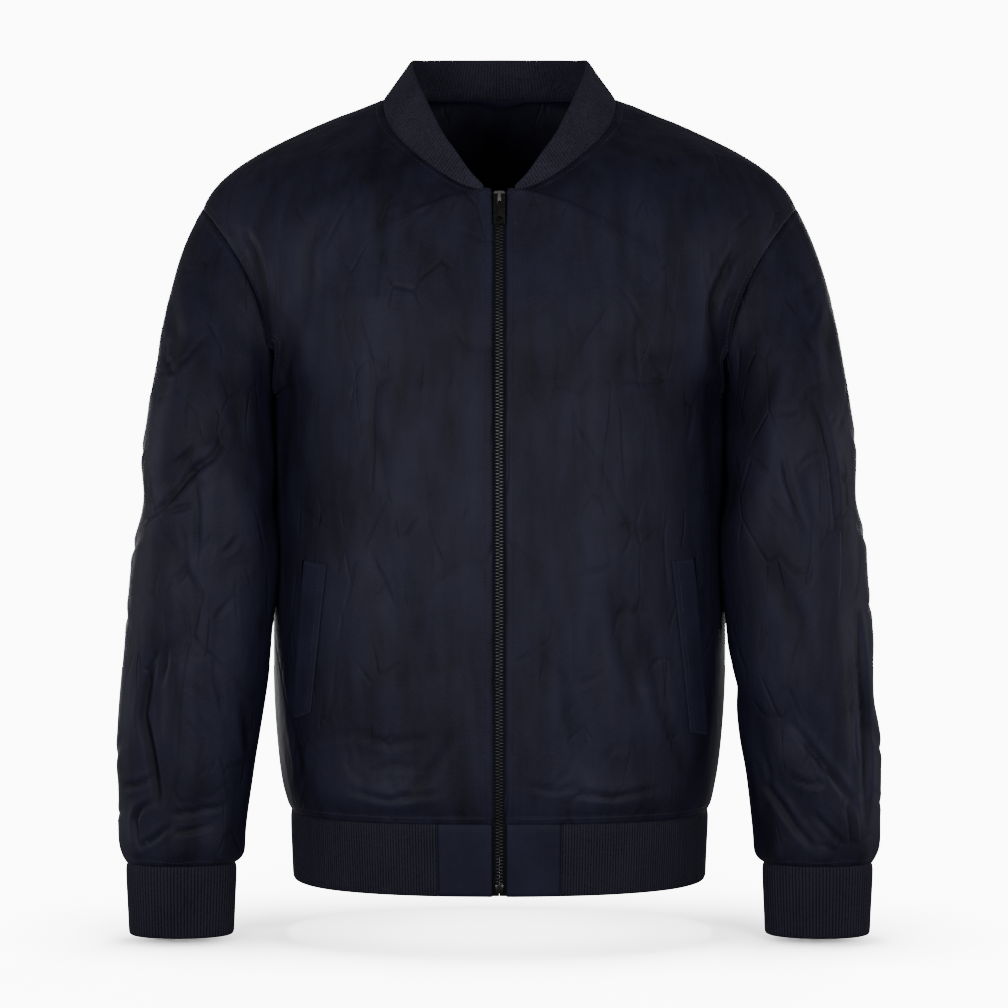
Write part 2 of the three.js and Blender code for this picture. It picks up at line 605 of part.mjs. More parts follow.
// Place on the outer face of a panel straight behind a spot seen from the front, and its facet's normal.
function onFront(grid, x, z) {
  for (let r = 0; r + 1 < grid.length; r += 1) {
    for (let c = 0; c + 1 < grid[r].length; c += 1) {
      const quad = [grid[r][c], grid[r][c + 1], grid[r + 1][c + 1], grid[r + 1][c]];
      for (const corners of [[quad[0], quad[1], quad[2]], [quad[0], quad[2], quad[3]]]) {
        const flat = new THREE.Triangle(...corners.map((v) => vec(v.x, v.z, 0)));
        const share = flat.getBarycoord(vec(x, z, 0), vec(0, 0, 0));
        if (share && Math.min(share.x, share.y, share.z) >= 0) {
          const at = vec(0, 0, 0);
          corners.forEach((corner, i) => at.addScaledVector(corner, share.getComponent(i)));
          return { at, out: new THREE.Triangle(...corners).getNormal(vec(0, 0, 0)) };
        }
      }
    }
  }
  throw new Error('no cloth behind ' + x + ', ' + z);
}

// Pocket welts: the corners of each, seen from the front.
const WELTS = {
  left: { topIn: [147, -416], topOut: [167, -414], bottomIn: [164, -566], bottomOut: [180, -569] },
  right: { topIn: [-147.5, -419], topOut: [-168, -416], bottomIn: [-162, -548], bottomOut: [-178, -555] },
};
const WELT_GAP = 0.9;
const WELT_ROWS = 10;
const WELT_COLUMNS = 3;
function pocketWelt(panel, { topIn, topOut, bottomIn, bottomOut }) {
  const [left, right] = topIn[0] > 0 ? ['In', 'Out'] : ['Out', 'In'];
  const corners = { topIn, topOut, bottomIn, bottomOut };
  const corner = (name) => vec(corners[name][0], corners[name][1], 0);
  const spots = evenSteps(0, 1, WELT_ROWS).map((v) => evenSteps(0, 1, WELT_COLUMNS).map((u) => {
    const low = lerp(corner('bottom' + left), corner('bottom' + right), u);
    const high = lerp(corner('top' + left), corner('top' + right), u);
    const spot = lerp(low, high, v);
    return onFront(panel, spot.x, spot.y);
  }));
  const raised = (height) => spots.map((line) =>
    line.map(({ at, out }) => at.clone().addScaledVector(out, height)));
  return closedWall(raised(WELT_GAP + CLOTH), raised(WELT_GAP));
}

// Neck tape: lies on the inside of the back, just below the collar seam.
const NECK_TAPE = { below: 1, width: 10, gap: 0.5, cloth: 1.0 };
function neckTape(back) {
  const [left, right] = back.inner;
  const last = left.length - 1;
  const first = last - (ARMHOLE_STEPS - BACK_SEAM_STEPS);
  const spot = (grid, r, column, beside) => {
    const base = grid[r][column];
    const below = r === first ? grid[r - 1][column] : grid[r - 1][beside];
    const beyond = grid[r][beside];
    const down = below.clone().sub(base).normalize();
    const out = beyond.clone().sub(base).cross(down).normalize();
    if (out.dot(vec(base.x, base.y, 0)) < 0) out.negate();
    return { base, down, out };
  };
  const rows = [];
  for (let r = last; r > first; r -= 1) rows.push(spot(left, r, PANEL_COLUMNS, PANEL_COLUMNS - 1));
  rows.push(spot(left, first, PANEL_COLUMNS, PANEL_COLUMNS - 1));
  for (let r = first + 1; r <= last; r += 1) rows.push(spot(right, r, 0, 1));
  const { below, width, gap, cloth } = NECK_TAPE;
  const grid = (depth) => [width, below].map((along) => rows.map(({ base, down, out }) =>
    base.clone().addScaledVector(down, along).addScaledVector(out, -depth)));
  return closedWall(grid(gap), grid(gap + cloth));
}

// Zip. Everything on it follows the line of the front edges, set back behind them.
const ZIP_TOP = FRONT_NECK - 1.5;
const TAPE = { inner: 3.7, outer: 15.5, front: -0.5, back: 0.5, top: ZIP_TOP, bottom: HEM_BOTTOM + 0.5 };
const CHAIN = { inner: 0.15, outer: 3.4, front: -1.3, back: 1.1, top: ZIP_TOP - 4.7, bottom: -691.2 };
const ZIP_BOX = { front: -1.9, back: 1.6, top: CHAIN.bottom - 0.5, bottom: CHAIN.bottom - 8 };
const edgeLevels = [...SIDE_LEVELS, ...evenSteps(UNDERARM.z, FRONT_NECK, FRONT_EDGE_STEPS)];
function frontEdgeY(z) {
  const down = Math.max((HEM_SEAM - z) / (HEM_SEAM - HEM_BOTTOM), 0);
  return HEM_FALL.depth * down - frontDepth(Math.max(z, HEM_SEAM));
}

// Straight between the levels of the front edges, so that the strips stay parallel to them.
function zipLineY(z) {
  const levels = [HEM_BOTTOM, ...edgeLevels];
  const i = Math.min(Math.max(levels.findIndex((level) => level > z) - 1, 0), levels.length - 2);
  const t = (z - levels[i]) / (levels[i + 1] - levels[i]);
  return THREE.MathUtils.lerp(frontEdgeY(levels[i]), frontEdgeY(levels[i + 1]), t) + ZIP_DEPTH;
}

function zipStrip(side, { inner, outer, front, back, top, bottom }) {
  const levels = [bottom, ...edgeLevels.filter((z) => z > bottom + 1 && z < top - 1), top];
  const across = side > 0 ? [inner, outer] : [-outer, -inner];
  const grid = (offset) => levels.map((z) => across.map((x) => vec(x, zipLineY(z) + offset, z)));
  return closedWall(grid(front), grid(back));
}

const zipTape = (side) => zipStrip(side, TAPE);
const zipChain = (side) => zipStrip(side, CHAIN);
function zipBox() {
  const middle = zipLineY((ZIP_BOX.top + ZIP_BOX.bottom) / 2);
  return box(
    vec(-CHAIN.outer, middle + ZIP_BOX.front, ZIP_BOX.bottom),
    vec(CHAIN.outer, middle + ZIP_BOX.back, ZIP_BOX.top),
  );
}

// The zip's head lies along the slope of the front edges. Its own -Z runs down the zip, its own Y is 0
// in the middle of the tape, and its origin is the top of the slider.
const HEAD_LENGTH = 30;
const headTop = vec(0, zipLineY(ZIP_TOP), ZIP_TOP);
const headFoot = vec(0, zipLineY(ZIP_TOP - HEAD_LENGTH), ZIP_TOP - HEAD_LENGTH);
const HEAD_TILT = -Math.atan2(headTop.y - headFoot.y, headTop.z - headFoot.z);
const SLIDER = { half: 4.8, length: 13, plate: 1.5, front: -1.6, back: 1.45, corner: 2 };
const POST = { half: 1.0, top: -0.4, bottom: -3.4 };
const STOP = { inner: POST.half + 0.5, outer: CHAIN.outer, front: -1.2, back: 1.1, top: -0.6 };
const BRIDGE = { half: 1.3, top: -1.4, bottom: -10.6, bar: 1.2, tunnel: 2.4 };
const PULL = { half: 5.2, thick: 1.4, length: 28, barHalf: 0.75, holeHalf: 1.9, corner: 1 };
const EYE = { half: 2.6, height: 4.8, corner: 2, below: 2 };
const SUNK = 0.5;
const SWING_ROOM = 0.4;
const sliderFace = SLIDER.front - SLIDER.plate;
const PIVOT = vec(0, sliderFace - BRIDGE.tunnel / 2, BRIDGE.top - BRIDGE.bar - PULL.barHalf - SUNK);

function asSolid(geometry) {
  const bare = geometry.clone();
  ['normal', 'uv'].forEach((name) => bare.deleteAttribute(name));
  const merged = mergeVertices(bare, 1e-4);
  return new wasm.Manifold(new wasm.Mesh({
    numProp: 3,
    vertProperties: new Float32Array(merged.attributes.position.array),
    triVerts: new Uint32Array(merged.index.array),
  }));
}

function fromSolid(solid) {
  const mesh = solid.getMesh();
  const geometry = new THREE.BufferGeometry();
  geometry.setAttribute('position', new THREE.BufferAttribute(new Float32Array(mesh.vertProperties), 3));
  geometry.setIndex(new THREE.BufferAttribute(new Uint32Array(mesh.triVerts), 1));
  geometry.computeVertexNormals();
  return geometry;
}

function box(low, high) {
  const size = high.clone().sub(low);
  const middle = lerp(low, high, 0.5);
  return new THREE.BoxGeometry(size.x, size.y, size.z).translate(middle.x, middle.y, middle.z);
}

// Outline with rounded corners, drawn level about the middle line from one height to another.
function roundedOutline(half, low, high, radius) {
  const outline = new THREE.Shape();
  outline.moveTo(-half + radius, low);
  outline.lineTo(half - radius, low).quadraticCurveTo(half, low, half, low + radius);
  outline.lineTo(half, high - radius).quadraticCurveTo(half, high, half - radius, high);
  outline.lineTo(-half + radius, high).quadraticCurveTo(-half, high, -half, high - radius);
  outline.lineTo(-half, low + radius).quadraticCurveTo(-half, low, -half + radius, low);
  return outline;
}

// A flat plate: the outline stands in X and Z, and the plate is thick along Y from a front face.
function plate(outline, front, thick) {
  const cut = { depth: thick, bevelEnabled: false, curveSegments: 3 };
  const geometry = new THREE.ExtrudeGeometry(outline, cut);
  return geometry.rotateX(Math.PI / 2).translate(0, front + thick, 0);
}

// Two plates joined by a post between the teeth, with a bridge on the front that holds the pull.
function slider() {
  const outline = roundedOutline(SLIDER.half, -SLIDER.length, 0, SLIDER.corner);
  const face = asSolid(plate(outline, sliderFace, SLIDER.plate));
  const underside = asSolid(plate(outline, SLIDER.back, SLIDER.plate));
  const post = asSolid(box(
    vec(-POST.half, SLIDER.front - SUNK, POST.bottom),
    vec(POST.half, SLIDER.back + SUNK, POST.top),
  ));
  const block = asSolid(box(
    vec(-BRIDGE.half, sliderFace - BRIDGE.tunnel - BRIDGE.bar, BRIDGE.bottom),
    vec(BRIDGE.half, sliderFace + SUNK, BRIDGE.top),
  ));
  const tunnel = asSolid(box(
    vec(-2 * BRIDGE.half, sliderFace - BRIDGE.tunnel, BRIDGE.bottom + BRIDGE.bar),
    vec(2 * BRIDGE.half, sliderFace, BRIDGE.top - BRIDGE.bar),
  ));
  return fromSolid(face.add(underside).add(post).add(block.subtract(tunnel)));
}

function topStop(side) {
  const [left, right] = [side * STOP.inner, side * STOP.outer].sort((a, b) => a - b);
  return box(vec(left, STOP.front, POST.bottom), vec(right, STOP.back, STOP.top));
}

// The pull hangs from its top bar, and its origin is the middle of that bar. Its upper hole lets the
// bridge's lower end through as it swings, and the eye is near its foot.
function pull() {
  const outline = roundedOutline(PULL.half, PULL.barHalf - PULL.length, PULL.barHalf, PULL.corner);
  const bridgeReach = sliderFace - BRIDGE.tunnel - BRIDGE.bar - PIVOT.y;
  const swing = Math.hypot(bridgeReach, PIVOT.z - BRIDGE.bottom);
  outline.holes.push(roundedOutline(PULL.holeHalf, -swing - SWING_ROOM, -PULL.barHalf, PULL.corner / 2));
  const eyeFoot = PULL.barHalf - PULL.length + EYE.below;
  outline.holes.push(roundedOutline(EYE.half, eyeFoot, eyeFoot + EYE.height, EYE.corner));
  return plate(outline, -PULL.thick / 2, PULL.thick);
}

const NAVY = new THREE.Color().setRGB(34 / 255, 35 / 255, 47 / 255, THREE.SRGBColorSpace);
const RIB_NAVY = new THREE.Color().setRGB(27 / 255, 27 / 255, 33 / 255, THREE.SRGBColorSpace);
const BLACK = new THREE.Color().setRGB(20 / 255, 20 / 255, 22 / 255, THREE.SRGBColorSpace);
const finish = {
  cloth: () => new THREE.MeshStandardMaterial({ color: NAVY, roughness: 0.85, metalness: 0 }),
  rib: () => new THREE.MeshStandardMaterial({ color: RIB_NAVY, roughness: 0.95, metalness: 0 }),
  tape: () => new THREE.MeshStandardMaterial({ color: BLACK, roughness: 0.9, metalness: 0 }),
  metal: () => new THREE.MeshStandardMaterial({ color: BLACK, roughness: 0.3, metalness: 0.9 }),
};

const jacket = new THREE.Group();
function add(name, geometry, kind, parent = jacket) {
  const mesh = new THREE.Mesh(geometry, finish[kind]());
  mesh.name = name;
  parent.add(mesh);
  return mesh;
}

const frontHalf = halfPanel(true);
const frontLeft = clothWall([frontHalf], FOLDS.front_left);
const frontRight = clothWall([mirrorPanel(frontHalf)], mirrorFolds(FOLDS.front_right));
add('front_left', frontLeft.geometry, 'cloth');
add('front_right', frontRight.geometry, 'cloth');

// The two halves of the back share the corners of its middle line below the neck.
const backHalf = halfPanel(false);
const middleRows = SIDE_LEVELS.length + BACK_SEAM_STEPS;
const backLeft = backHalf.map((line) => [...line].reverse());
const backRight = backHalf.map((line, r) => {
  const other = mirrorLine(line);
  if (r <= middleRows) other[0] = line[0];
  return other;
});
const back = clothWall([backLeft, backRight], FOLDS.back);
add('back', back.geometry, 'cloth');

const sleeve = sleeveGrid();
const sleeveWall = (grid, folds) => clothWall([grid], folds, { wrap: true, swell: gather });
add('sleeve_left', sleeveWall(sleeve, FOLDS.sleeve_left).geometry, 'cloth');
add('sleeve_right', sleeveWall(mirrorPanel(sleeve), mirrorFolds(FOLDS.sleeve_right)).geometry, 'cloth');

add('collar_rib', collar(), 'rib');
add('neck_tape', neckTape(back), 'cloth');
add('hem_rib', hemRib(), 'rib');
add('pocket_welt_left', pocketWelt(frontLeft.outer[0], WELTS.left), 'cloth');
add('pocket_welt_right', pocketWelt(frontRight.outer[0], WELTS.right), 'cloth');
for (const [name, side] of [['left', 1], ['right', -1]]) {
  add('cuff_' + name, cuff(side), 'rib');
  add('hem_tab_' + name, hemTab(side), 'cloth');
  add('zip_tape_' + name, zipTape(side), 'tape');
  add('zip_chain_' + name, zipChain(side), 'metal');
}

add('zip_box', zipBox(), 'metal');

const head = new THREE.Group();
head.position.copy(headTop);
head.rotation.x = HEAD_TILT;
jacket.add(head);
add('zip_slider', slider(), 'metal', head);
add('zip_top_stop_left', topStop(1), 'metal', head);
add('zip_top_stop_right', topStop(-1), 'metal', head);
add('zip_pull', pull(), 'metal', head).position.copy(PIVOT);

export default jacket;
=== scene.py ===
"""Looks of a bomber jacket that is zipped up and filled out as if worn, and the studio round it.

Laid out as an add-on: the sizes are in JacketSettings, and each group of like pieces has its own
operator. Places are in metres in the frame of the solids, and tables are in millimetres.
"""

import math
from collections import namedtuple
from contextlib import contextmanager
from itertools import product

import bmesh
import bpy
import numpy as np
from mathutils import Matrix, Vector
from mathutils.bvhtree import BVHTree
from mathutils.kdtree import KDTree


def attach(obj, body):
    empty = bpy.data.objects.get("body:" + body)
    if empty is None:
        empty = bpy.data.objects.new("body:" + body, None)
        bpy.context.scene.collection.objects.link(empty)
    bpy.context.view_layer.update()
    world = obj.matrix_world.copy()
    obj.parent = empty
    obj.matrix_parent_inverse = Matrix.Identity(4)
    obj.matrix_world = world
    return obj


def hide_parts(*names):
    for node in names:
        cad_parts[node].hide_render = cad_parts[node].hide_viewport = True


bl_info = {
    "name": "Bomber jacket looks",
    "version": (1, 0, 0),
    "blender": (4, 5, 0),
    "location": "3D View > Sidebar > Jacket",
    "description": "Cloth, rib knit, zip and stitching of a bomber jacket, and its studio",
    "category": "Object",
}

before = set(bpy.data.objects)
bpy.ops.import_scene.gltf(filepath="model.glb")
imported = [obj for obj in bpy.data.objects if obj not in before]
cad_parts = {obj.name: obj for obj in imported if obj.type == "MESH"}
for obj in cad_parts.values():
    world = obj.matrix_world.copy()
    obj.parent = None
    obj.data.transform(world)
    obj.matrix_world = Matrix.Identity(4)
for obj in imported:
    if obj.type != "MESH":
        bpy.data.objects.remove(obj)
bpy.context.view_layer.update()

MM = 0.001
SIDES = {"left": 1, "right": -1}

# Curves that the solids follow

FULLNESS = 0.66
SIDE_SEAM_Y = 6
HEM = {"half": 187.0, "front": 136.0, "back": 127.0, "top": -640.3, "bottom": -702.0}
HEM_FALL = {"half": 2.5, "depth": 3.5}
TAB_START = 6.4
TAB_END = 53.0
SEAM_GAP = 0.3
CUFF = {
    "x": 280.5, "y": -50.0, "top": -683.3, "bottom": -746.0, "half": 48.0, "depth": 35.0, "taper": 3.0,
}

# The neck on the wearer's left, from the zip to the middle of the back: seam, then free edge.
NECK = [
    ((14, -110.8, -97.5), (14.5, -110, -92.5)),
    ((32, -105, -91.5), (25, -104, -80.5)),
    ((50, -97.5, -81), (37, -97, -63)),
    ((67.5, -86, -67), (50, -86, -43.5)),
    ((86, -66, -49.5), (62, -68, -18)),
    ((100, -38, -28.5), (73, -42, 7)),
    ((105.5, 2, -5), (79, -4, 26)),
    ((102, 32, 3), (79, 33, 38)),
    ((85, 56, 7), (70, 56, 41.5)),
    ((60, 71, 9), (50, 71, 44)),
    ((31, 78, 9.5), (26, 78, 45)),
    ((0, 80, 9.5), (0, 80, 45.5)),
]

# Corners where the seams of a panel meet, on the wearer's left.
CORNERS = {
    "zip_neck": (6.4, -111.5, -98),
    "neck_shoulder": (105.5, 2, -5),
    "shoulder": (268, 8, -101),
    "underarm": (201, 8, -274),
    "side_hem": (187, 6, -640),
    "zip_hem": (6.4, -136, -640),
}

BACK_MIDDLES = {"middle_neck": (0, 80, 9.5), "middle_hem": (0, 127, -640)}

# The seams that show stitches, by the corners that they run between. The back has each one on both sides.
FRONT_SEAMS = [
    ("zip_neck", "neck_shoulder"), ("neck_shoulder", "shoulder"), ("shoulder", "underarm"),
    ("side_hem", "zip_hem"), ("zip_hem", "zip_neck"),
]
BACK_SEAMS = [
    ("neck_shoulder", "middle_neck"), ("neck_shoulder", "shoulder"), ("shoulder", "underarm"),
    ("side_hem", "middle_hem"),
]

# Creases: the view that a crease is seen in, its line there in millimetres, its width and its depth.
# The lines are (x, z) from the front or back and (y, z) from the side.
Crease = namedtuple("Crease", "view line width depth")

CREASES = {
    "front_left": [
        ("front", [(211, -139), (200, -156), (188, -184), (184, -206), (183, -250)], 7, 3.5),
        ("front", [(117, -212), (116, -235), (119, -262)], 3, 1.3),
        ("front", [(108, -262), (126, -264), (148, -257)], 3, 1.5),
        ("front", [(118, -234), (134, -246), (142, -262)], 3, 0.9),
        ("front", [(98, -440), (104, -490), (121, -540)], 9, 2.2),
        ("front", [(51, -505), (60, -550), (74, -600)], 8, 1.8),
        ("front", [(128, -483), (140, -545), (166, -606)], 8, 2.2),
        ("front", [(30, -420), (44, -470), (40, -540)], 10, 1.2),
        ("front", [(186, -210), (180, -300), (184, -380)], 11, 2.2),
        ("front", [(150, -110), (160, -150), (158, -220)], 12, 1.6),
        ("front", [(90, -60), (110, -120), (112, -180)], 13, 1.3),
        ("front", [(60, -612), (96, -618), (140, -610)], 5, 1.4),
        ("front", [(20, -604), (46, -612), (70, -606)], 4, 1.0),
    ],
    "front_right": [
        ("front", [(-223, -127), (-213, -145), (-206, -170), (-201, -200)], 5, 2.5),
        ("front", [(-183, -538), (-172, -598), (-177, -618)], 5, 1.8),
        ("front", [(-111, -596), (-92, -590), (-69, -591)], 4, 1.6),
        ("front", [(-130, -560), (-96, -572), (-60, -566)], 5, 1.6),
        ("front", [(-60, -330), (-48, -380), (-64, -430)], 9, 1.2),
        ("front", [(-100, -240), (-110, -300), (-96, -350)], 9, 1.2),
        ("front", [(-186, -200), (-182, -290), (-188, -370)], 11, 2.0),
        ("front", [(-150, -110), (-164, -150), (-160, -220)], 12, 1.6),
        ("front", [(-84, -70), (-100, -120), (-104, -190)], 13, 1.3),
        ("front", [(-36, -560), (-60, -600), (-90, -622)], 6, 1.4),
        ("front", [(-130, -612), (-96, -620), (-50, -612)], 5, 1.4),
    ],
    "back": [
        ("back", [(150, -150), (132, -220), (118, -310)], 13, 3.0),
        ("back", [(-152, -160), (-128, -230), (-110, -300)], 12, 2.8),
        ("back", [(60, -380), (72, -460), (96, -560)], 12, 2.5),
        ("back", [(-40, -400), (-56, -480), (-84, -585)], 12, 2.8),
        ("back", [(-130, -520), (-90, -570), (-30, -606)], 9, 2.2),
        ("back", [(20, -590), (80, -604), (136, -598)], 7, 2.0),
        ("back", [(0, -60), (8, -150), (2, -270)], 14, 1.6),
        ("back", [(176, -330), (164, -420), (172, -520)], 12, 2.4),
        ("back", [(-174, -320), (-160, -430), (-170, -540)], 12, 2.4),
        ("back", [(-20, -300), (24, -330), (70, -322)], 8, 1.5),
        ("back", [(-90, -340), (-50, -356), (-8, -350)], 7, 1.2),
        ("back", [(110, -430), (130, -480), (124, -540)], 8, 1.6),
    ],
    "sleeve_left": [
        ("front", [(264, -222), (272, -234), (275, -244)], 4, 1.6),
        ("front", [(269, -276), (278, -300), (285, -327), (289, -360), (290, -396)], 5, 2.6),
        ("front", [(288, -339), (298, -345), (308, -350)], 4, 1.8),
        ("front", [(243, -322), (248, -348), (254, -366), (265, -392)], 5, 2.4),
        ("front", [(230, -360), (240, -374), (252, -388)], 4, 1.6),
        ("front", [(311, -460), (313, -500), (318, -557), (320, -592), (318, -655)], 6, 3.6),
        ("front", [(252, -556), (270, -580), (285, -599), (307, -628)], 5, 2.8),
        ("front", [(300, -627), (305, -646), (307, -668)], 4, 2.0),
        ("front", [(250, -603), (266, -609), (283, -609)], 4, 1.8),
        ("front", [(230, -609), (244, -628), (256, -646), (273, -667)], 5, 2.6),
        ("front", [(272, -635), (286, -650), (299, -663)], 4, 2.0),
        ("front", [(236, -420), (256, -470), (262, -530)], 12, 2.2),
        ("front", [(300, -180), (286, -230), (292, -290)], 12, 2.0),
        ("front", [(240, -240), (222, -290), (226, -350)], 10, 2.0),
        ("side", [(-80, -300), (-40, -325), (20, -318)], 8, 1.2),
        ("side", [(-90, -380), (-50, -400), (0, -396)], 8, 1.3),
        ("side", [(-84, -470), (-48, -452), (-10, -462)], 8, 1.1),
        ("side", [(-80, -560), (-44, -590), (-10, -584)], 7, 1.2),
        ("side", [(-70, -624), (-40, -636), (-16, -628)], 5, 0.9),
        ("back", [(225, -330), (262, -322), (306, -300)], 9, 3.0),
        ("back", [(222, -372), (260, -378), (312, -352)], 9, 3.0),
        ("back", [(226, -436), (270, -430), (318, -404)], 9, 2.8),
        ("back", [(238, -500), (262, -540), (268, -600)], 10, 2.2),
        ("back", [(300, -560), (296, -610), (304, -660)], 7, 2.0),
        ("back", [(240, -640), (262, -622), (290, -636)], 6, 2.0),
    ],
    "sleeve_right": [
        ("front", [(-294, -238), (-283, -254), (-272, -243), (-254, -220)], 4, 1.8),
        ("front", [(-262, -318), (-270, -326), (-280, -334)], 4, 1.8),
        ("front", [(-234, -298), (-244, -326), (-262, -338), (-287, -368), (-314, -385)], 5, 2.8),
        ("front", [(-289, -375), (-276, -372), (-262, -368)], 4, 1.8),
        ("front", [(-262, -338), (-259, -375), (-261, -428)], 4, 2.0),
        ("front", [(-225, -394), (-230, -404), (-238, -411)], 4, 1.6),
        ("front", [(-299, -504), (-305, -528), (-309, -552), (-302, -580), (-294, -632)], 6, 3.8),
        ("front", [(-286, -488), (-288, -506), (-293, -525)], 4, 2.0),
        ("front", [(-330, -615), (-314, -611), (-298, -605)], 4, 2.2),
        ("front", [(-296, -624), (-312, -631), (-317, -642), (-313, -667)], 4, 2.4),
        ("front", [(-314, -666), (-300, -658), (-284, -645)], 4, 2.0),
        ("front", [(-284, -636), (-260, -633), (-236, -629)], 4, 2.0),
        ("front", [(-282, -652), (-266, -650), (-248, -646)], 4, 1.8),
        ("front", [(-223, -538), (-221, -564), (-217, -594)], 5, 2.2),
        ("front", [(-245, -520), (-241, -534), (-238, -548)], 4, 1.6),
        ("front", [(-280, -400), (-264, -450), (-270, -510)], 12, 2.2),
        ("front", [(-296, -170), (-282, -220), (-300, -280)], 12, 2.2),
        ("front", [(-236, -250), (-224, -300), (-220, -360)], 10, 2.0),
    ],
}

# Out of the photograph's sight, the right sleeve has the left one's creases a little lower.
HIDDEN_FLIP = {"side": 1, "back": -1}
HIDDEN_DROP = 9

for view, line, width, depth in CREASES["sleeve_left"]:
    if view in HIDDEN_FLIP:
        lower = [(x * HIDDEN_FLIP[view], z - HIDDEN_DROP) for x, z in line]
        CREASES["sleeve_right"].append((view, lower, width, depth))

# Short creases that the cloth keeps from being folded: how many, the view and the part of the panel
# that they lie in, the slope that most of them follow, and their longest and deepest.
Crumple = namedtuple("Crumple", "seed count view low high slope length depth")

CRUMPLES = {
    "front_left": [
        (11, 34, "front", (12, -600), (190, -120), 75, 46, 0.8),
        (12, 14, "front", (20, -622), (170, -540), 20, 50, 1.0),
    ],
    "front_right": [
        (21, 34, "front", (-190, -600), (-12, -120), 105, 46, 0.8),
        (22, 14, "front", (-170, -622), (-20, -540), 160, 50, 1.0),
    ],
    "back": [
        (31, 60, "back", (-190, -600), (190, -60), 85, 50, 0.8),
        (32, 20, "back", (-160, -622), (160, -540), 10, 56, 1.0),
    ],
    "sleeve_left": [
        (41, 44, "front", (212, -660), (330, -150), 60, 44, 1.0),
        (42, 34, "side", (-100, -396), (40, -150), 30, 44, 1.0),
        (43, 30, "back", (212, -660), (330, -150), 20, 50, 1.0),
    ],
    "sleeve_right": [
        (51, 44, "front", (-330, -660), (-212, -150), 120, 44, 1.0),
        (52, 34, "side", (-100, -396), (40, -150), 150, 44, 1.0),
        (53, 30, "back", (-330, -660), (-212, -150), 160, 50, 1.0),
    ],
}

# How much a sleeve and the body swell where they press on each other, in millimetres.
PRESS = {"sleeve": 3.4, "front": 2.6, "back": 2.0}

# Slow swells of all the cloth: their height in millimetres, and the size of one in metres.
SWELLS = [(1.1, (0.075, 0.075, 0.14)), (0.5, (0.026, 0.026, 0.05))]


class JacketSettings(bpy.types.PropertyGroup):
    """Sizes and strengths that the operators read."""

    crease_depth: bpy.props.FloatProperty(
        name="Crease depth", description="How strong the creases are, as a share of their tables",
        default=1.0, min=0.0, max=2.0, subtype="FACTOR",
    )
    cloth_thickness: bpy.props.FloatProperty(
        name="Cloth thickness", description="Thickness of the body and sleeve cloth",
        default=0.0014, min=0.0005, max=0.0016, unit="LENGTH",
    )
    rib_relief: bpy.props.FloatProperty(
        name="Rib relief", description="Height of the knitted ribs above the valleys between them",
        default=0.0009, min=0.0, max=0.002, unit="LENGTH",
    )
    stitch_length: bpy.props.FloatProperty(
        name="Stitch length", description="Length of one topstitch with the gap after it",
        default=0.0030, min=0.002, max=0.006, unit="LENGTH",
    )
    tooth_pitch: bpy.props.FloatProperty(
        name="Tooth pitch", description="Distance between two teeth on one side of the zip",
        default=0.0028, min=0.0015, max=0.004, unit="LENGTH",
    )
    navy: bpy.props.FloatVectorProperty(
        name="Navy", description="Colour of the napped cloth",
        default=(0.0099, 0.0096, 0.0240), size=3, min=0.0, max=1.0, subtype="COLOR",
    )
    rib_navy: bpy.props.FloatVectorProperty(
        name="Rib navy", description="Colour of the rib knit",
        default=(0.0134, 0.0129, 0.0212), size=3, min=0.0, max=1.0, subtype="COLOR",
    )


# Numbers and shapes

def gradient_noise(points, seed):
    """Smooth noise from about -1 to 1 that repeats for the same seed. One cell is one unit wide."""
    cell = np.floor(points).astype(np.int64)
    part = points - cell
    ease = part * part * (3 - 2 * part)
    total = np.zeros(len(points))
    for corner in product((0, 1), repeat=3):
        place = cell + corner
        mixed = place @ np.array([374761393, 668265263, 1274126177]) + seed * 144269504
        mixed = (mixed ^ (mixed >> 13)) * 1103515245 & 0x7FFFFFFF
        mixed = (mixed ^ (mixed >> 16)) * 69069 & 0x7FFFFFFF
        turn = (mixed & 0xFFFF) / 65536 * 2 * math.pi
        rise = ((mixed >> 12) & 0xFFF) / 2048 - 1
        level = np.sqrt(np.maximum(0, 1 - rise * rise))
        slope = np.stack([np.cos(turn) * level, np.sin(turn) * level, rise], axis=1)
        weight = np.prod(np.where(corner, ease, 1 - ease), axis=1)
        total += weight * ((part - corner) * slope).sum(axis=1)
    return total * 1.6


def fade(value, low, high):
    """0 below low, 1 above high and smooth between."""
    share = np.clip((value - low) / (high - low), 0, 1)
    return share * share * (3 - 2 * share)


def unit(vectors):
    return vectors / np.maximum(np.linalg.norm(vectors, axis=-1, keepdims=True), 1e-12)


def smooth_line(points, count, closed=False):
    """The points joined by a smooth curve, as count points at even steps along it."""
    points = np.asarray(points, float)
    if closed:
        padded = np.vstack([points[-1:], points, points[:2]])
    else:
        padded = np.vstack([2 * points[0] - points[1], points, 2 * points[-1] - points[-2]])
    fine = []
    for before, start, end, after in zip(padded, padded[1:], padded[2:], padded[3:]):
        for t in np.arange(16) / 16:
            fine.append(0.5 * (
                2 * start + (end - before) * t + (2 * before - 5 * start + 4 * end - after) * t**2
                + (3 * start - before - 3 * end + after) * t**3
            ))
    fine.append(points[0] if closed else points[-1])
    return even_line(np.array(fine), count)


def line_length(line):
    return np.linalg.norm(np.diff(line, axis=0), axis=1).sum()


def stretch_of_line(line, start, end, count):
    """Count points of a line at even steps between two distances from its start."""
    along = np.concatenate([[0], np.cumsum(np.linalg.norm(np.diff(line, axis=0), axis=1))])
    wanted = np.linspace(start, end, count)
    return np.stack([np.interp(wanted, along, column) for column in line.T], axis=1)


def even_line(line, count):
    return stretch_of_line(line, 0, line_length(line), count)


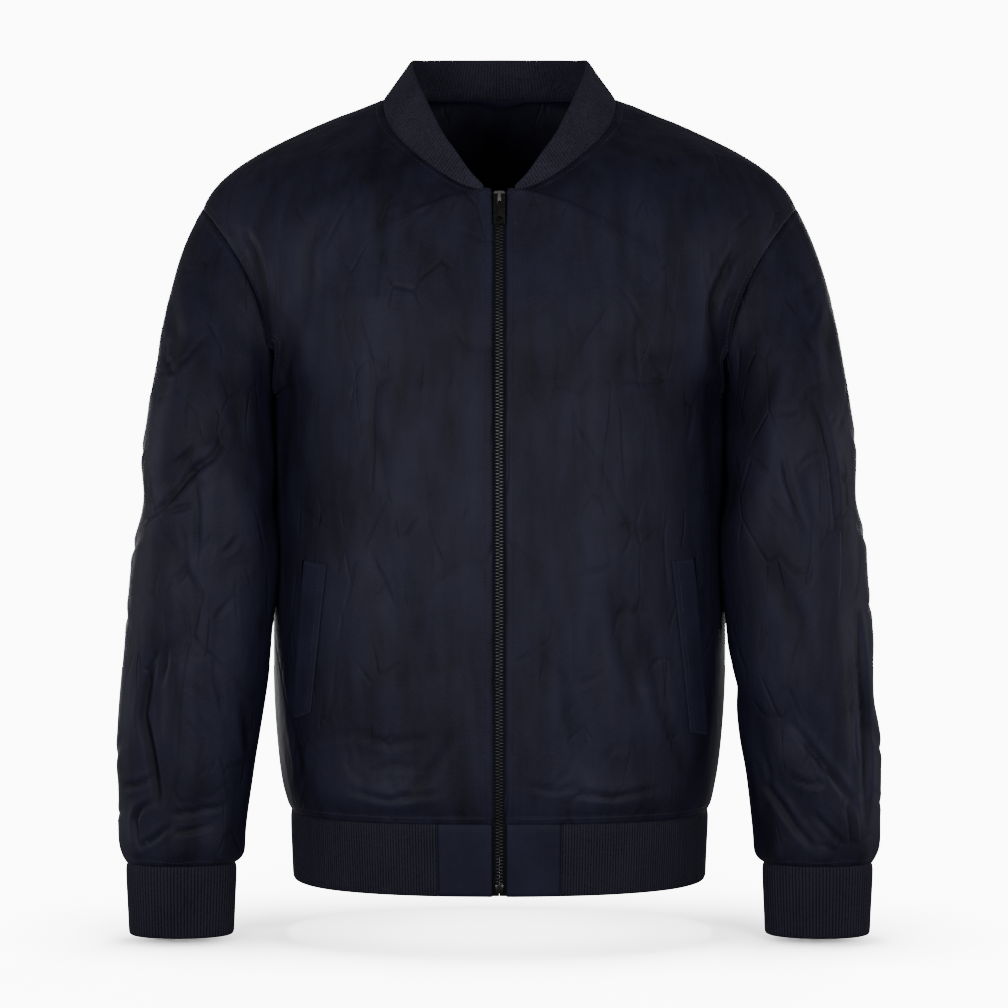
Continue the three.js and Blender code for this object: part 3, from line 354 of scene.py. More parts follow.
def away_from_line(spots, line):
    """How far each spot is from a line in its plane, and how far along the line from 0 to 1."""
    line = even_line(np.asarray(line, float), 12)
    best = np.full(len(spots), 1e9)
    along = np.zeros(len(spots))
    for number, (start, end) in enumerate(zip(line, line[1:])):
        span = end - start
        share = np.clip((spots - start) @ span / (span @ span), 0, 1)
        distance = np.linalg.norm(spots - start - share[:, None] * span, axis=1)
        nearer = distance < best
        best = np.where(nearer, distance, best)
        along = np.where(nearer, (number + share) / (len(line) - 1), along)
    return best, along


# Objects and meshes

def mesh_object(name, mesh, material):
    mesh.name = name
    mesh.materials.clear()
    mesh.materials.append(material)
    made = bpy.data.objects.new(name, mesh)
    bpy.context.scene.collection.objects.link(made)
    return made


def make_object(name, vertices, faces, material):
    """A smooth mesh object from vertices in metres and lists of corners."""
    mesh = bpy.data.meshes.new(name)
    mesh.from_pydata(vertices.tolist(), [], faces)
    mesh.shade_smooth()
    return mesh_object(name, mesh, material)


@contextmanager
def editing(mesh):
    """The mesh in a form that can be edited, written back at the end."""
    work = bmesh.new()
    work.from_mesh(mesh)
    yield work
    work.to_mesh(mesh)
    work.free()


def turn_faces_outward(mesh):
    with editing(mesh) as work:
        bmesh.ops.recalc_face_normals(work, faces=work.faces[:])


def tree_of(points):
    """A tree for finding the nearest of the points."""
    tree = KDTree(len(points))
    for number, point in enumerate(points):
        tree.insert(point, number)
    tree.balance()
    return tree


def select_only(target):
    bpy.ops.object.select_all(action="DESELECT")
    target.select_set(True)
    bpy.context.view_layer.objects.active = target


def apply_modifier(target, kind, **settings):
    modifier = target.modifiers.new(kind.title(), kind)
    for name, value in settings.items():
        setattr(modifier, name, value)
    select_only(target)
    bpy.ops.object.modifier_apply(modifier=modifier.name)


def round_edges(made, width, segments, angle):
    """Rounds the edges that bend by more than the angle, in radians."""
    apply_modifier(made, "BEVEL", width=width, segments=segments, limit_method="ANGLE", angle_limit=angle)


def smooth_through_corners(made, levels):
    """Subdivides a sheet smoothly, with its surface still passing through the corners it had."""
    settings = {"boundary_smooth": "PRESERVE_CORNERS", "use_limit_surface": True}
    wanted = vertex_array(made.data)
    for _ in range(3):
        trial = made.copy()
        trial.data = made.data.copy()
        bpy.context.scene.collection.objects.link(trial)
        apply_modifier(trial, "SUBSURF", levels=1, render_levels=1, **settings)
        reached = vertex_array(trial.data)[:len(wanted)]
        bpy.data.objects.remove(trial)
        set_vertices(made.data, vertex_array(made.data) + wanted - reached)
    apply_modifier(made, "SUBSURF", levels=levels, render_levels=levels, **settings)


def vertex_array(mesh, kind="co"):
    """The places of a mesh's vertices, or with kind "normal" their normals."""
    values = np.zeros(len(mesh.vertices) * 3)
    mesh.vertices.foreach_get(kind, values)
    return values.reshape(-1, 3)


def set_vertices(mesh, points):
    mesh.vertices.foreach_set("co", points.astype(np.float32).ravel())
    mesh.update()


def set_point_values(mesh, name, values):
    attribute = mesh.attributes.new(name, "FLOAT", "POINT")
    attribute.data.foreach_set("value", values.astype(np.float32))


def finish_piece(made, node, body="jacket"):
    """The piece stands for its solid, moves with its body and takes its slot."""
    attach(made, body)
    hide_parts(node)


def join_corners(work):
    bmesh.ops.remove_doubles(work, verts=work.verts, dist=1e-6)


def make_quads(work, flat, square):
    """Joins triangles in pairs, where they are flat and square enough in degrees, and faces them outward."""
    bmesh.ops.join_triangles(
        work, faces=work.faces[:], angle_face_threshold=math.radians(flat),
        angle_shape_threshold=math.radians(square),
    )
    bmesh.ops.recalc_face_normals(work, faces=work.faces[:])


def merged_copy(node, material, name):
    """A copy of a solid with its doubled corners joined and its triangles made quads."""
    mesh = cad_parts[node].data.copy()
    with editing(mesh) as work:
        join_corners(work)
        make_quads(work, 40, 80)
    return mesh_object(name, mesh, material)


def outer_sheet(node, centre_line, material):
    """The outer face of a wall of even thickness, as an open sheet of quads.

    Each corner's nearest other corner is the one across the wall, and the outer one of the two is
    further from the centre line.
    """
    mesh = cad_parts[node].data.copy()
    with editing(mesh) as work:
        join_corners(work)
        work.verts.ensure_lookup_table()
        points = np.array([vert.co for vert in work.verts])
        tree = tree_of(points)
        partner = np.array([tree.find_n(point, 2)[1][1] for point in points])
        outer = ((points - points[partner]) * (points - centre_line(points))).sum(axis=1) > 0
        inside = [vert for vert in work.verts if not outer[vert.index]]
        bmesh.ops.delete(work, geom=inside, context="VERTS")
        make_quads(work, 60, 90)
    mesh.shade_smooth()
    points = vertex_array(mesh)
    away = (points - centre_line(points)) * vertex_array(mesh, "normal")
    if away.sum() < 0:
        mesh.flip_normals()
    return mesh_object("cloth_" + node, mesh, material)


def body_centre(points):
    """The middle line of the body, which stops below the shoulders."""
    centre = np.zeros_like(points)
    centre[:, 1] = -4 * MM
    centre[:, 2] = np.minimum(points[:, 2], -250 * MM)
    return centre


def sleeve_centre(side):
    """The middle line of a sleeve, from the armhole down to the cuff."""
    line = np.array([
        (234, 8, -188), (246, -10, -233), (251, -40, -305), (257, -49, -380), (266, -51, -460),
        (273, -50.5, -550), (279, -50, -635), (280, -50, -684),
    ]) * MM * (side, 1, 1)
    tree = tree_of(smooth_line(line, 60))
    return lambda points: np.array([tree.find(point)[0] for point in points])


def open_edge(mesh):
    """The open edge of a sheet as loops of vertex numbers, each in order."""
    links = {}
    with editing(mesh) as work:
        for edge in work.edges:
            if edge.is_boundary:
                first, second = (vert.index for vert in edge.verts)
                links.setdefault(first, []).append(second)
                links.setdefault(second, []).append(first)
    loops = []
    while links:
        start = next(iter(links))
        loop = [start]
        while True:
            near = [n for n in links.get(loop[-1], []) if n in links and n not in loop[-2:]]
            step = near[0] if near else None
            if len(loop) > 1:
                links.pop(loop[-1], None)
            if step is None or step == start:
                break
            loop.append(step)
        links.pop(start, None)
        loops.append(loop)
    return sorted(loops, key=len, reverse=True)


def stretch_of(points, loop, start, end):
    """The shorter way along a closed loop between the vertices nearest to two places."""
    def nearest(place):
        return int(np.argmin(np.linalg.norm(points[loop] - np.array(place) * MM, axis=1)))

    first, last, n = nearest(start), nearest(end), len(loop)
    forward = [loop[(first + i) % n] for i in range((last - first) % n + 1)]
    backward = [loop[(first - i) % n] for i in range((first - last) % n + 1)]
    return min((forward, backward), key=len)


def distance_to(points, marks):
    tree = tree_of(marks)
    return np.array([tree.find(point)[2] for point in points])


# Creases

def facing(view, normals, points):
    """How squarely the cloth faces the view that a crease is seen in."""
    if view == "front":
        return np.maximum(-normals[:, 1], 0)
    if view == "back":
        return np.maximum(normals[:, 1], 0)
    return np.maximum(normals[:, 0] * np.sign(points[:, 0]), 0)


# Section of a crease: how wide its trough is, how far off and how high its ridges are, and how far it
# reaches, as shares of the crease's own width and depth.
CREASE_SHAPE = {"trough": 0.78, "ridge_away": 1.5, "ridge_height": 0.45, "reach": 3.2}


def crease_rise(crease, points, normals):
    """A soft trough along the crease's line with a low ridge on each side of it, in millimetres."""
    across = 1 if crease.view == "side" else 0
    spots = points[:, [across, 2]] / MM
    line = np.asarray(crease.line, float)
    reach = CREASE_SHAPE["reach"] * crease.width
    near = ((spots > line.min(0) - reach) & (spots < line.max(0) + reach)).all(axis=1)
    rise = np.zeros(len(points))
    if not near.any():
        return rise
    distance, along = away_from_line(spots[near], line)
    off = distance / (CREASE_SHAPE["trough"] * crease.width)
    ends = np.sin(np.pi * np.clip(along, 0, 1)) ** 0.6
    ridge = CREASE_SHAPE["ridge_height"] * np.exp(-((off - CREASE_SHAPE["ridge_away"]) ** 2) / 0.6)
    profile = ridge - np.exp(-(off**2) * 1.6)
    weight = fade(facing(crease.view, normals[near], points[near]), 0.08, 0.55)
    rise[near] = crease.depth * profile * ends * weight
    return rise


def crumple_lines(crumple):
    """Short bent creases, some of which start where another one ends. The seed fixes all of them."""
    rng = np.random.default_rng(crumple.seed)
    low, high = np.array(crumple.low, float), np.array(crumple.high, float)
    made = []
    for _ in range(crumple.count):
        if made and rng.random() < 0.4:
            start = np.array(made[-1].line[-1])
        else:
            start = low + rng.random(2) * (high - low)
        angle = math.radians(crumple.slope + rng.normal(0, 32))
        length = crumple.length * (0.3 + 0.7 * rng.random() ** 1.5)
        step = np.array([math.cos(angle), math.sin(angle)]) * length / 2
        bend = np.array([-step[1], step[0]]) * rng.normal(0, 0.25)
        line = [start, start + step + bend, start + 2 * step]
        width = 2.2 + 1.8 * rng.random()
        depth = crumple.depth * (0.35 + 0.65 * rng.random())
        made.append(Crease(crumple.view, np.array(line), width, depth))
    return made


def pressed(panel, points, normals):
    """Where a sleeve's inner side and the body's side touch and swell towards each other, from 0 to 1."""
    toward = -1 if panel.startswith("sleeve") else 1
    facing_other = fade(toward * normals[:, 0] * np.sign(points[:, 0]), 0.35, 0.9)
    z = points[:, 2] / MM
    return facing_other * fade(z, -600, -500) * (1 - fade(z, -225, -190))


# Beside a cut edge, in millimetres: where the creases fade in, the small waves that the stitches pull up,
# and the dip of the edge itself.
CALM_EDGE = (6, 24)
PUCKER = {"height": 0.4, "cell": 8.5, "from_seam": 8, "spread": 5}
EDGE_DIP = {"depth": 0.35, "reach": 1.8}
FAR = 60


def shape_cloth(made, panel, seams, strength):
    """Moves a sheet's points by its creases, by slow swells and by the pull of its seams."""
    mesh = made.data
    points, normals = vertex_array(mesh), vertex_array(mesh, "normal")
    rise = np.zeros(len(points))
    for crease in CREASES[panel]:
        rise += crease_rise(Crease(*crease), points, normals)
    for crumple in CRUMPLES[panel]:
        for crease in crumple_lines(Crumple(*crumple)):
            rise += crease_rise(crease, points, normals)
    folded = rise * strength
    seed = sum(map(ord, panel))
    for number, (height, cell) in enumerate(SWELLS):
        rise += height * gradient_noise(points / cell, seed + number)
    rise *= strength
    edge = points[[i for loop in open_edge(mesh) for i in loop]]
    from_edge = distance_to(points, edge) / MM
    stitched = np.vstack([points[seam] for seam in seams])
    from_seam = distance_to(points, stitched) / MM
    rise *= fade(from_edge, *CALM_EDGE)
    pucker = gradient_noise(points / (PUCKER["cell"] * MM), seed + 2)
    pucker *= np.exp(-((from_seam - PUCKER["from_seam"]) / PUCKER["spread"]) ** 2)
    rise += PUCKER["height"] * pucker * fade(from_edge, 2, 7)
    rise -= EDGE_DIP["depth"] * np.exp(-(from_edge / EDGE_DIP["reach"]) ** 2)
    touch = pressed(panel, points, normals)
    rise = rise * (1 - touch) + PRESS[panel.split("_")[0]] * touch
    set_vertices(mesh, points + normals * rise[:, None] * MM)
    # Crease heights, from which the cloth's colour takes painted shade in the troughs and a little painted
    # light on the ridges.
    set_point_values(mesh, "fold_mm", folded)
    set_point_values(mesh, "seam_mm", np.minimum(from_seam, FAR))


# A cut edge runs on under its neighbour: along the cloth and down through it, in millimetres.
TURNED_EDGE = [(0.8, 0.9), (2.2, 2.2), (3.8, 4.2)]
NECK_SHARE = 0.4
NECK_LOW = -25


def turn_edges_in(made):
    """Lets a sheet's edges run on under the pieces that they are sewn to, so no light shows there.

    They reach less far round the back of the neck, where the inside shows.
    """
    with editing(made.data) as work:
        work.normal_update()
        edges = [edge for edge in work.edges if edge.is_boundary]
        start, down, out = {}, {}, {}
        for edge in edges:
            face = edge.link_faces[0]
            first, second = (vert.co for vert in edge.verts)
            across = (second - first).normalized().cross(face.normal)
            if across.dot((first + second) / 2 - face.calc_center_median()) < 0:
                across.negate()
            for vert in edge.verts:
                start[vert], down[vert] = vert.co.copy(), vert.normal.copy()
                out[vert] = out.get(vert, Vector()) + across
        for reach, depth in TURNED_EDGE:
            grown = bmesh.ops.extrude_edge_only(work, edges=edges)["geom"]
            edges = [part for part in grown if isinstance(part, bmesh.types.BMEdge) and part.is_boundary]
            for vert in [part for part in grown if isinstance(part, bmesh.types.BMVert)]:
                near = (edge.other_vert(vert) for edge in vert.link_edges)
                root = next(other for other in near if other in start)
                start[vert], down[vert], out[vert] = start[root], down[root], out[root]
                share = NECK_SHARE if start[root].z > NECK_LOW * MM else 1.0
                vert.co = start[root] + (out[root].normalized() * reach - down[root] * depth) * share * MM


# Stitches

def surface_of(made):
    """A tree for finding places on an object's surface."""
    mesh = made.data
    return BVHTree.FromPolygons([v.co[:] for v in mesh.vertices], [p.vertices[:] for p in mesh.polygons])


def on_surface(tree, points):
    found = [tree.find_nearest(point)[:2] for point in points]
    return np.array([place for place, _ in found]), np.array([normal for _, normal in found])


def inward_line(points, normals, stretch, inward, middle):
    """A line beside a seam, moved inward over the cloth."""
    line, out = points[stretch], normals[stretch]
    along = unit(np.gradient(line, axis=0))
    sideways = unit(np.cross(along, out))
    if ((middle - line) * sideways).sum() < 0:
        sideways = -sideways
    return line + sideways * inward * MM


def stitch_form():
    """One stitch: a short thread that dips into the cloth at both ends, lying along X."""
    bpy.ops.mesh.primitive_uv_sphere_add(segments=5, ring_count=4, radius=1.0)
    seed = bpy.context.object
    mesh = seed.data
    points = vertex_array(mesh)[:, [2, 0, 1]]
    faces = [list(p.vertices) for p in mesh.polygons]
    bpy.data.objects.remove(seed)
    return points, faces


def repeat_form(form, places, axes, size):
    """Copies of a form at places, each turned to its own axes and scaled."""
    points, faces = form
    turned = np.einsum("kij,nj->kni", axes, points * size)
    vertices = (turned + places[:, None, :]).reshape(-1, 3)
    step = len(points)
    corners = [[i + k * step for i in face] for k in range(len(places)) for face in faces]
    return vertices, corners


# Half the length of a stitch as a share of its pitch, and half its width, half its height and how far it
# lies above the cloth, in millimetres.
STITCH_SHARE = 0.40
THREAD = {"beside": 0.26, "up": 0.22, "lift": 0.05}


def stitches_along(line, tree, pitch, form):
    """Stitches at even steps on the surface below a line."""
    count = max(2, round(line_length(line) / pitch))
    places, normals = on_surface(tree, even_line(line, count))
    along = unit(np.gradient(places, axis=0))
    beside = unit(np.cross(normals, along))
    up = np.cross(along, beside)
    axes = np.stack([along, beside, up], axis=2)
    size = np.array([pitch * STITCH_SHARE, THREAD["beside"] * MM, THREAD["up"] * MM])
    return repeat_form(form, places + normals * THREAD["lift"] * MM, axes, size)


def join_parts(parts):
    vertices, faces, total = [], [], 0
    for points, corners in parts:
        vertices.append(points)
        faces += [[i + total for i in face] for face in corners]
        total += len(points)
    return np.vstack(vertices), faces


# Bands: rib knit and tabs, folded double at one edge

# Section of a folded band: height from the seam (0) to the fold (1), and depth in millimetres.
# Its ends reach a little past the seam, under the cloth that the band is sewn to.
BAND_SECTION = [
    (-0.045, 2.2), (0.0, 1.0), (0.025, 0.25), (0.09, 0.0), (0.22, 0.0), (0.36, 0.0), (0.50, 0.0), (0.64, 0.0),
    (0.78, 0.0), (0.90, 0.0),
    (0.965, 0.1), (0.992, 0.55), (1.0, 1.2), (0.992, 1.85), (0.965, 2.3),
    (0.90, 2.4), (0.70, 2.4), (0.45, 2.4), (0.20, 2.4), (-0.045, 2.8),
]
HALF_BAND = 1.2
# Columns of corners in one rib, and the distance between ribs in millimetres.
RIB_COLUMNS = 6
HEM_PITCH = 2.5
COLLAR_PITCH = 3.0
CUFF_RIBS = 87


def folded_band(name, seam, fold, out, ribs, relief, material, closed=False, seed=1):
    """A band between a seam line and a fold line, with ribs across it and both faces modelled."""
    columns = len(seam)
    phase = np.arange(columns) % RIB_COLUMNS / RIB_COLUMNS
    ridge = np.abs(np.cos(np.pi * phase)) ** 0.8 if ribs else np.zeros(columns)
    draw = np.random.default_rng(seed)
    each = 0.85 + 0.3 * draw.random(columns // RIB_COLUMNS + 2)
    ridge = ridge * each[(np.arange(columns) + RIB_COLUMNS // 2) // RIB_COLUMNS]
    rings, heights = [], []
    for height, depth in BAND_SECTION:
        line = seam + (fold - seam) * height
        face = 1 - depth / HALF_BAND
        lift = relief * ridge * face * (0.45 + 0.55 * fade(height, 0.0, 0.16))
        wave = 0.5 * MM * gradient_noise(line / 0.035, seed + 7) * fade(height, 0, 0.5)
        rings.append(line + out * (lift + wave - depth * MM)[:, None])
        heights.append(ridge if ribs else np.ones(columns))
    grid = np.array(rings)
    rows = len(rings)
    last = columns if closed else columns - 1
    row, column = np.meshgrid(np.arange(rows), np.arange(last), indexing="ij")
    here, below = row * columns, (row + 1) % rows * columns
    beside = (column + 1) % columns
    quads = np.stack([here + column, below + column, below + beside, here + beside], axis=-1)
    faces = quads.reshape(-1, 4).tolist()
    if not closed:
        first = [k * columns for k in range(rows)]
        faces += [first, [k + columns - 1 for k in reversed(first)]]
    made = make_object(name, grid.reshape(-1, 3), faces, material)
    # Heights of the ribs, from which the knit's colour takes painted shade in the valleys between them.
    set_point_values(made.data, "rib_height", np.concatenate(heights))
    turn_faces_outward(made.data)
    return made


def hem_line(low):
    """Closed line of the hem band in millimetres, from the zip round by the wearer's left."""
    half = HEM["half"] - HEM_FALL["half"] * low
    front = HEM["front"] - HEM_FALL["depth"] * low
    back = HEM["back"] - HEM_FALL["depth"] * low
    z = HEM["top"] + (HEM["bottom"] - HEM["top"]) * low
    share = np.linspace(0, 1, 200)[:, None]

    def arc(depth):
        middle, edge = np.array([0, depth, z]), np.array([half, SIDE_SEAM_Y, z])
        first = np.array([half * FULLNESS, depth, z])
        second = np.array([half, SIDE_SEAM_Y + (depth - SIDE_SEAM_Y) * FULLNESS, z])
        rest = 1 - share
        return (
            middle * rest**3 + 3 * first * share * rest**2 + 3 * second * share**2 * rest + edge * share**3
        )

    left = np.vstack([arc(-front), arc(back)[::-1][1:]])
    right = (left * (-1, 1, 1))[::-1][1:]
    return np.vstack([left, right])


def part_of_ring(line, start, end, count):
    """Even steps along a closed line between two distances from its start. They may be negative."""
    before = line_length(line) if start < 0 else 0
    return stretch_of_line(np.vstack([line[:-1], line]), start + before, end + before, count)


def level_out(line, closed=False):
    """Level direction out of a line that runs anticlockwise seen from above."""
    if closed:
        along = np.roll(line, -1, axis=0) - np.roll(line, 1, axis=0)
    else:
        along = np.gradient(line, axis=0)
    return unit(np.stack([along[:, 1], -along[:, 0], np.zeros(len(line))], axis=1))


# Shader maths

class Value:
    """A number in a shader, so that sums of them read as plain expressions."""

    def __init__(self, shader, socket):
        self.shader, self.socket = shader, socket

    def math(self, operation, *terms):
        inputs = dict(enumerate(terms))
        return self.shader.node("ShaderNodeMath", {"operation": operation}, inputs).value("Value")

    def __add__(self, other):
        return self.math("ADD", self, other)

    def __sub__(self, other):
        return self.math("SUBTRACT", self, other)

    def __mul__(self, other):
        return self.math("MULTIPLY", self, other)

    def __rsub__(self, other):
        return self.math("SUBTRACT", other, self)

    def __abs__(self):
        return self.math("ABSOLUTE", self)

    def smaller(self, other):
        return self.math("MINIMUM", self, other)

    def fade(self, low, high):
        """0 at low and 1 at high, smooth between and flat beyond."""
        settings = {"interpolation_type": "SMOOTHSTEP"}
        inputs = {"Value": self, "From Min": low, "From Max": high, "To Min": 0.0, "To Max": 1.0}
        return self.shader.node("ShaderNodeMapRange", settings, inputs).value("Result")


class Made:
    """A node that was added, whose outputs can be taken by name."""

    def __init__(self, shader, node):
        self.shader, self.node = shader, node

    def value(self, name):
        return Value(self.shader, self.node.outputs[name])

    def socket(self, name):
        return self.node.outputs[name]


SOCKETS = {
    "roughness": "Roughness", "metallic": "Metallic", "specular": "Specular IOR Level",
    "sheen": "Sheen Weight", "sheen_roughness": "Sheen Roughness", "sheen_tint": "Sheen Tint",
}


class Shader:
    """A new material with a Principled surface."""

    def __init__(self, name, **constants):
        self.material = bpy.data.materials.new(name)
        self.material.use_nodes = True
        self.tree = self.material.node_tree
        self.surface = self.tree.nodes["Principled BSDF"]
        for key, value in constants.items():
            self.surface.inputs[SOCKETS[key]].default_value = value

    def node(self, kind, settings=None, inputs=None):
        node = self.tree.nodes.new(kind)
        for name, value in (settings or {}).items():
            setattr(node, name, value)
        for name, value in (inputs or {}).items():
            if isinstance(value, Value):
                self.tree.links.new(value.socket, node.inputs[name])
            elif isinstance(value, bpy.types.NodeSocket):
                self.tree.links.new(value, node.inputs[name])
            else:
                node.inputs[name].default_value = value
        return Made(self, node)

    def place(self):
        return self.node("ShaderNodeTexCoord").socket("Object")

    def stretched(self, vector, scale):
        settings = {"operation": "MULTIPLY"}
        return self.node("ShaderNodeVectorMath", settings, {0: vector, 1: scale}).socket("Vector")

    def moved(self, vector, push, amount):
        scaled = self.node("ShaderNodeVectorMath", {"operation": "SCALE"}, {0: push, "Scale": amount})
        inputs = {0: vector, 1: scaled.socket("Vector")}
        return self.node("ShaderNodeVectorMath", {"operation": "ADD"}, inputs).socket("Vector")

    def noise(self, vector, scale, detail=2.0, roughness=0.5):
        inputs = {"Vector": vector, "Scale": scale, "Detail": detail, "Roughness": roughness}
        return self.node("ShaderNodeTexNoise", {}, inputs)

    def attribute(self, name):
        return self.node("ShaderNodeAttribute", {"attribute_name": name}).value("Fac")

    def mix(self, factor, first, second):
        return self.node("ShaderNodeMix", {"data_type": "RGBA"}, {0: factor, 6: first, 7: second}).socket(2)

    def feed(self, name, value):
        socket = value.socket if isinstance(value, Value) else value
        self.tree.links.new(socket, self.surface.inputs[name])

    def bump(self, height_mm):
        """Height in millimetres, turned to the surface's normal."""
        made = self.node("ShaderNodeBump", {}, {"Strength": 1.0, "Distance": MM, "Height": height_mm})
        self.tree.links.new(made.socket("Normal"), self.surface.inputs["Normal"])


CLOTH_SHEEN = {"sheen": 0.03, "sheen_roughness": 0.3, "sheen_tint": (0.7, 0.7, 0.95, 1.0)}
KNIT_SHEEN = {"sheen": 0.05, "sheen_roughness": 0.4, "sheen_tint": (0.7, 0.7, 0.9, 1.0)}


def shade(color, factor):
    return tuple(min(1.0, part * factor) for part in color[:3]) + (1.0,)


def cloth_material(navy):
    """Napped sateen: mottled, with set creases too fine for the mesh and raised seam edges."""
    s = Shader("napped_navy", roughness=0.6, specular=0.20, **CLOTH_SHEEN)
    place = s.place()
    warped = s.moved(place, s.noise(place, 11.0, 1.0).socket("Color"), 0.016)
    cloud = s.noise(s.stretched(warped, (1.0, 1.0, 0.6)), 17.0, 3.0, 0.62).value("Fac")
    streak = s.noise(s.stretched(place, (1.0, 1.0, 0.16)), 60.0, 2.0, 0.6).value("Fac")
    nap = s.noise(place, 900.0, 1.0, 0.6).value("Fac")

    def folds(scale, lean, width):
        """A net of long, leaning valleys, from 0 in a valley to 1 beside it."""
        mapping = {"Vector": warped, "Rotation": (0.3, lean, 0.0), "Scale": (1.0, 1.0, 0.36)}
        turned = s.node("ShaderNodeMapping", {}, mapping).socket("Vector")
        inputs = {"Vector": turned, "Scale": scale, "Randomness": 1.0}
        cells = s.node("ShaderNodeTexVoronoi", {"feature": "DISTANCE_TO_EDGE"}, inputs)
        return cells.value("Distance").fade(0.0, width)

    def patches(scale):
        """Broad areas with a broken edge, so that a net of folds shows as separate short lines."""
        broad = s.noise(place, scale, 1.0).value("Fac").fade(0.42, 0.58)
        return broad * s.noise(place, scale * 3.4, 0.0).value("Fac").fade(0.36, 0.60)

    large = (folds(17.0, 0.50, 0.045) - 1) * patches(7.0)
    small = (folds(34.0, -0.7, 0.06) - 1) * patches(12.0)
    grain = s.noise(place, 300.0, 1.0, 0.6).value("Fac") * 0.18
    soft = s.noise(s.stretched(warped, (1.0, 1.0, 0.4)), 40.0, 2.0, 0.6).value("Fac") * 1.2
    seam = s.attribute("seam_mm")
    allowance = (1 - seam.fade(6.2, 7.6)) * 0.4
    groove = (1 - (abs(seam - 6.0)).fade(0.2, 1.1)) * -0.3
    s.bump(large * 0.66 + small * 0.50 + soft + grain + allowance + groove)

    # Painted shade: the colour is darker in the crease troughs and fold valleys, and a little lighter on the
    # crease ridges.
    crease_shade = s.attribute("fold_mm").smaller(0.6) * 0.10 + large * 0.08 + small * 0.12
    tone = (cloud - 0.5) * 1.05 + (streak - 0.5) * 0.95 + (nap - 0.5) * 0.6 + crease_shade + 0.54
    s.feed("Base Color", s.mix(tone.fade(0.0, 1.0), shade(navy, 0.45), shade(navy, 1.45)))
    s.feed("Roughness", 0.62 - (cloud - 0.5) * 0.16)
    return s.material


def plain_cloth_material(navy):
    """The same cloth where it lies flat and firmly sewn: tabs, welts and neck tape."""
    s = Shader("sewn_navy", roughness=0.66, specular=0.16, **CLOTH_SHEEN)
    place = s.place()
    cloud = s.noise(place, 26.0, 5.0, 0.62).value("Fac")
    nap = s.noise(place, 900.0, 2.0, 0.6).value("Fac")
    tone = (cloud - 0.5) * 1.2 + (nap - 0.5) * 0.7 + 0.5
    s.feed("Base Color", s.mix(tone.fade(0.0, 1.0), shade(navy, 0.78), shade(navy, 1.62)))
    s.bump(nap * 0.05 + s.noise(place, 70.0, 3.0, 0.6).value("Fac") * 0.5)
    return s.material


def rib_material(name, rib_navy, rib_valley_shade):
    """Matt knit, with the small loops along each rib as bump."""
    s = Shader(name, roughness=0.85, specular=0.12, **KNIT_SHEEN)
    place = s.place()
    fuzz = s.noise(place, 1100.0, 1.0, 0.6).value("Fac")
    loops = s.noise(s.stretched(place, (1.0, 1.0, 2.2)), 520.0, 1.0).value("Fac")
    cloud = s.noise(place, 30.0, 3.0).value("Fac")
    # Painted shade: the valleys between the ribs are coloured darker and the rib tops lighter.
    high = s.attribute("rib_height").fade(0.05, 0.9)
    tone = (fuzz - 0.5) * 1.1 + (loops - 0.5) * 0.9 + (cloud - 0.5) * 0.5 + (high - 0.5) * rib_valley_shade + 0.5
    s.feed("Base Color", s.mix(tone.fade(0.0, 1.0), shade(rib_navy, 0.35), shade(rib_navy, 1.75)))
    s.bump(fuzz * 0.12 + loops * 0.2)
    return s.material


TAPE_DARK = (0.004, 0.004, 0.006)
TAPE_LIGHT = (0.011, 0.011, 0.015)


def tape_material(name, level):
    s = Shader(name, roughness=0.85, specular=0.12 * level)
    weave = s.noise(s.stretched(s.place(), (1.0, 1.0, 2.5)), 800.0, 1.0).value("Fac")
    s.feed("Base Color", s.mix(weave, shade(TAPE_DARK, level), shade(TAPE_LIGHT, level)))
    s.bump(weave * 0.12)
    return s.material


# Metals: the darkest and the lightest colour of their wear, and how rough they are.
METALS = {
    "grey_teeth": ((0.06, 0.06, 0.065), (0.20, 0.20, 0.21), 0.30),
    "dark_metal": ((0.030, 0.030, 0.028), (0.085, 0.085, 0.08), 0.16),
    "worn_metal": ((0.30, 0.30, 0.31), (0.55, 0.55, 0.56), 0.20),
}


def metal_material(name):
    dark, light, rough = METALS[name]
    s = Shader(name, metallic=1.0)
    wear = s.noise(s.place(), 420.0, 3.0, 0.6).value("Fac")
    s.feed("Base Color", s.mix(wear, shade(dark, 1), shade(light, 1)))
    s.feed("Roughness", wear * 0.16 + rough)
    return s.material


def thread_material(navy):
    s = Shader("navy_thread", roughness=0.6, specular=0.3, sheen=0.15)
    twist = s.noise(s.place(), 1500.0, 1.0).value("Fac")
    s.feed("Base Color", s.mix(twist, shade(navy, 0.7), shade(navy, 1.7)))
    return s.material


MATERIAL_MAKERS = {
    "cloth": lambda settings: cloth_material(settings.navy),
    "flat_cloth": lambda settings: plain_cloth_material(settings.navy),
    "rib": lambda settings: rib_material("rib_knit", settings.rib_navy, 0.75),
    "collar": lambda settings: rib_material("collar_knit", shade(settings.rib_navy, 1.5), 0.30),
    "tape": lambda settings: tape_material("zip_tape_weave", 1.0),
    # Painted shade: a near-black copy of the tape, for the strip at each pocket's mouth.
    "mouth_painted_shade": lambda settings: tape_material("pocket_mouth_painted_shade", 0.1),
    "teeth": lambda settings: metal_material("grey_teeth"),
    "metal": lambda settings: metal_material("dark_metal"),
    "bright": lambda settings: metal_material("worn_metal"),
    "thread": lambda settings: thread_material(settings.navy),
}
materials = {}


def material(name):
    """The named material, made when it is first asked for."""
    if name not in materials:
        materials[name] = MATERIAL_MAKERS[name](bpy.context.scene.jacket)
    return materials[name]


# Pieces

def corners_on(side):
    """The corners of the panels on one side of the body."""
    return {name: (x * side, y, z) for name, (x, y, z) in CORNERS.items()}


# The part of the fronts that is rounded off, in metres, and how many times.
CHEST = {"low": -0.19, "half": 0.20, "rounds": 90}

# For each finished piece of cloth, what the stitching on it is laid out from.
stitch_guides = {}


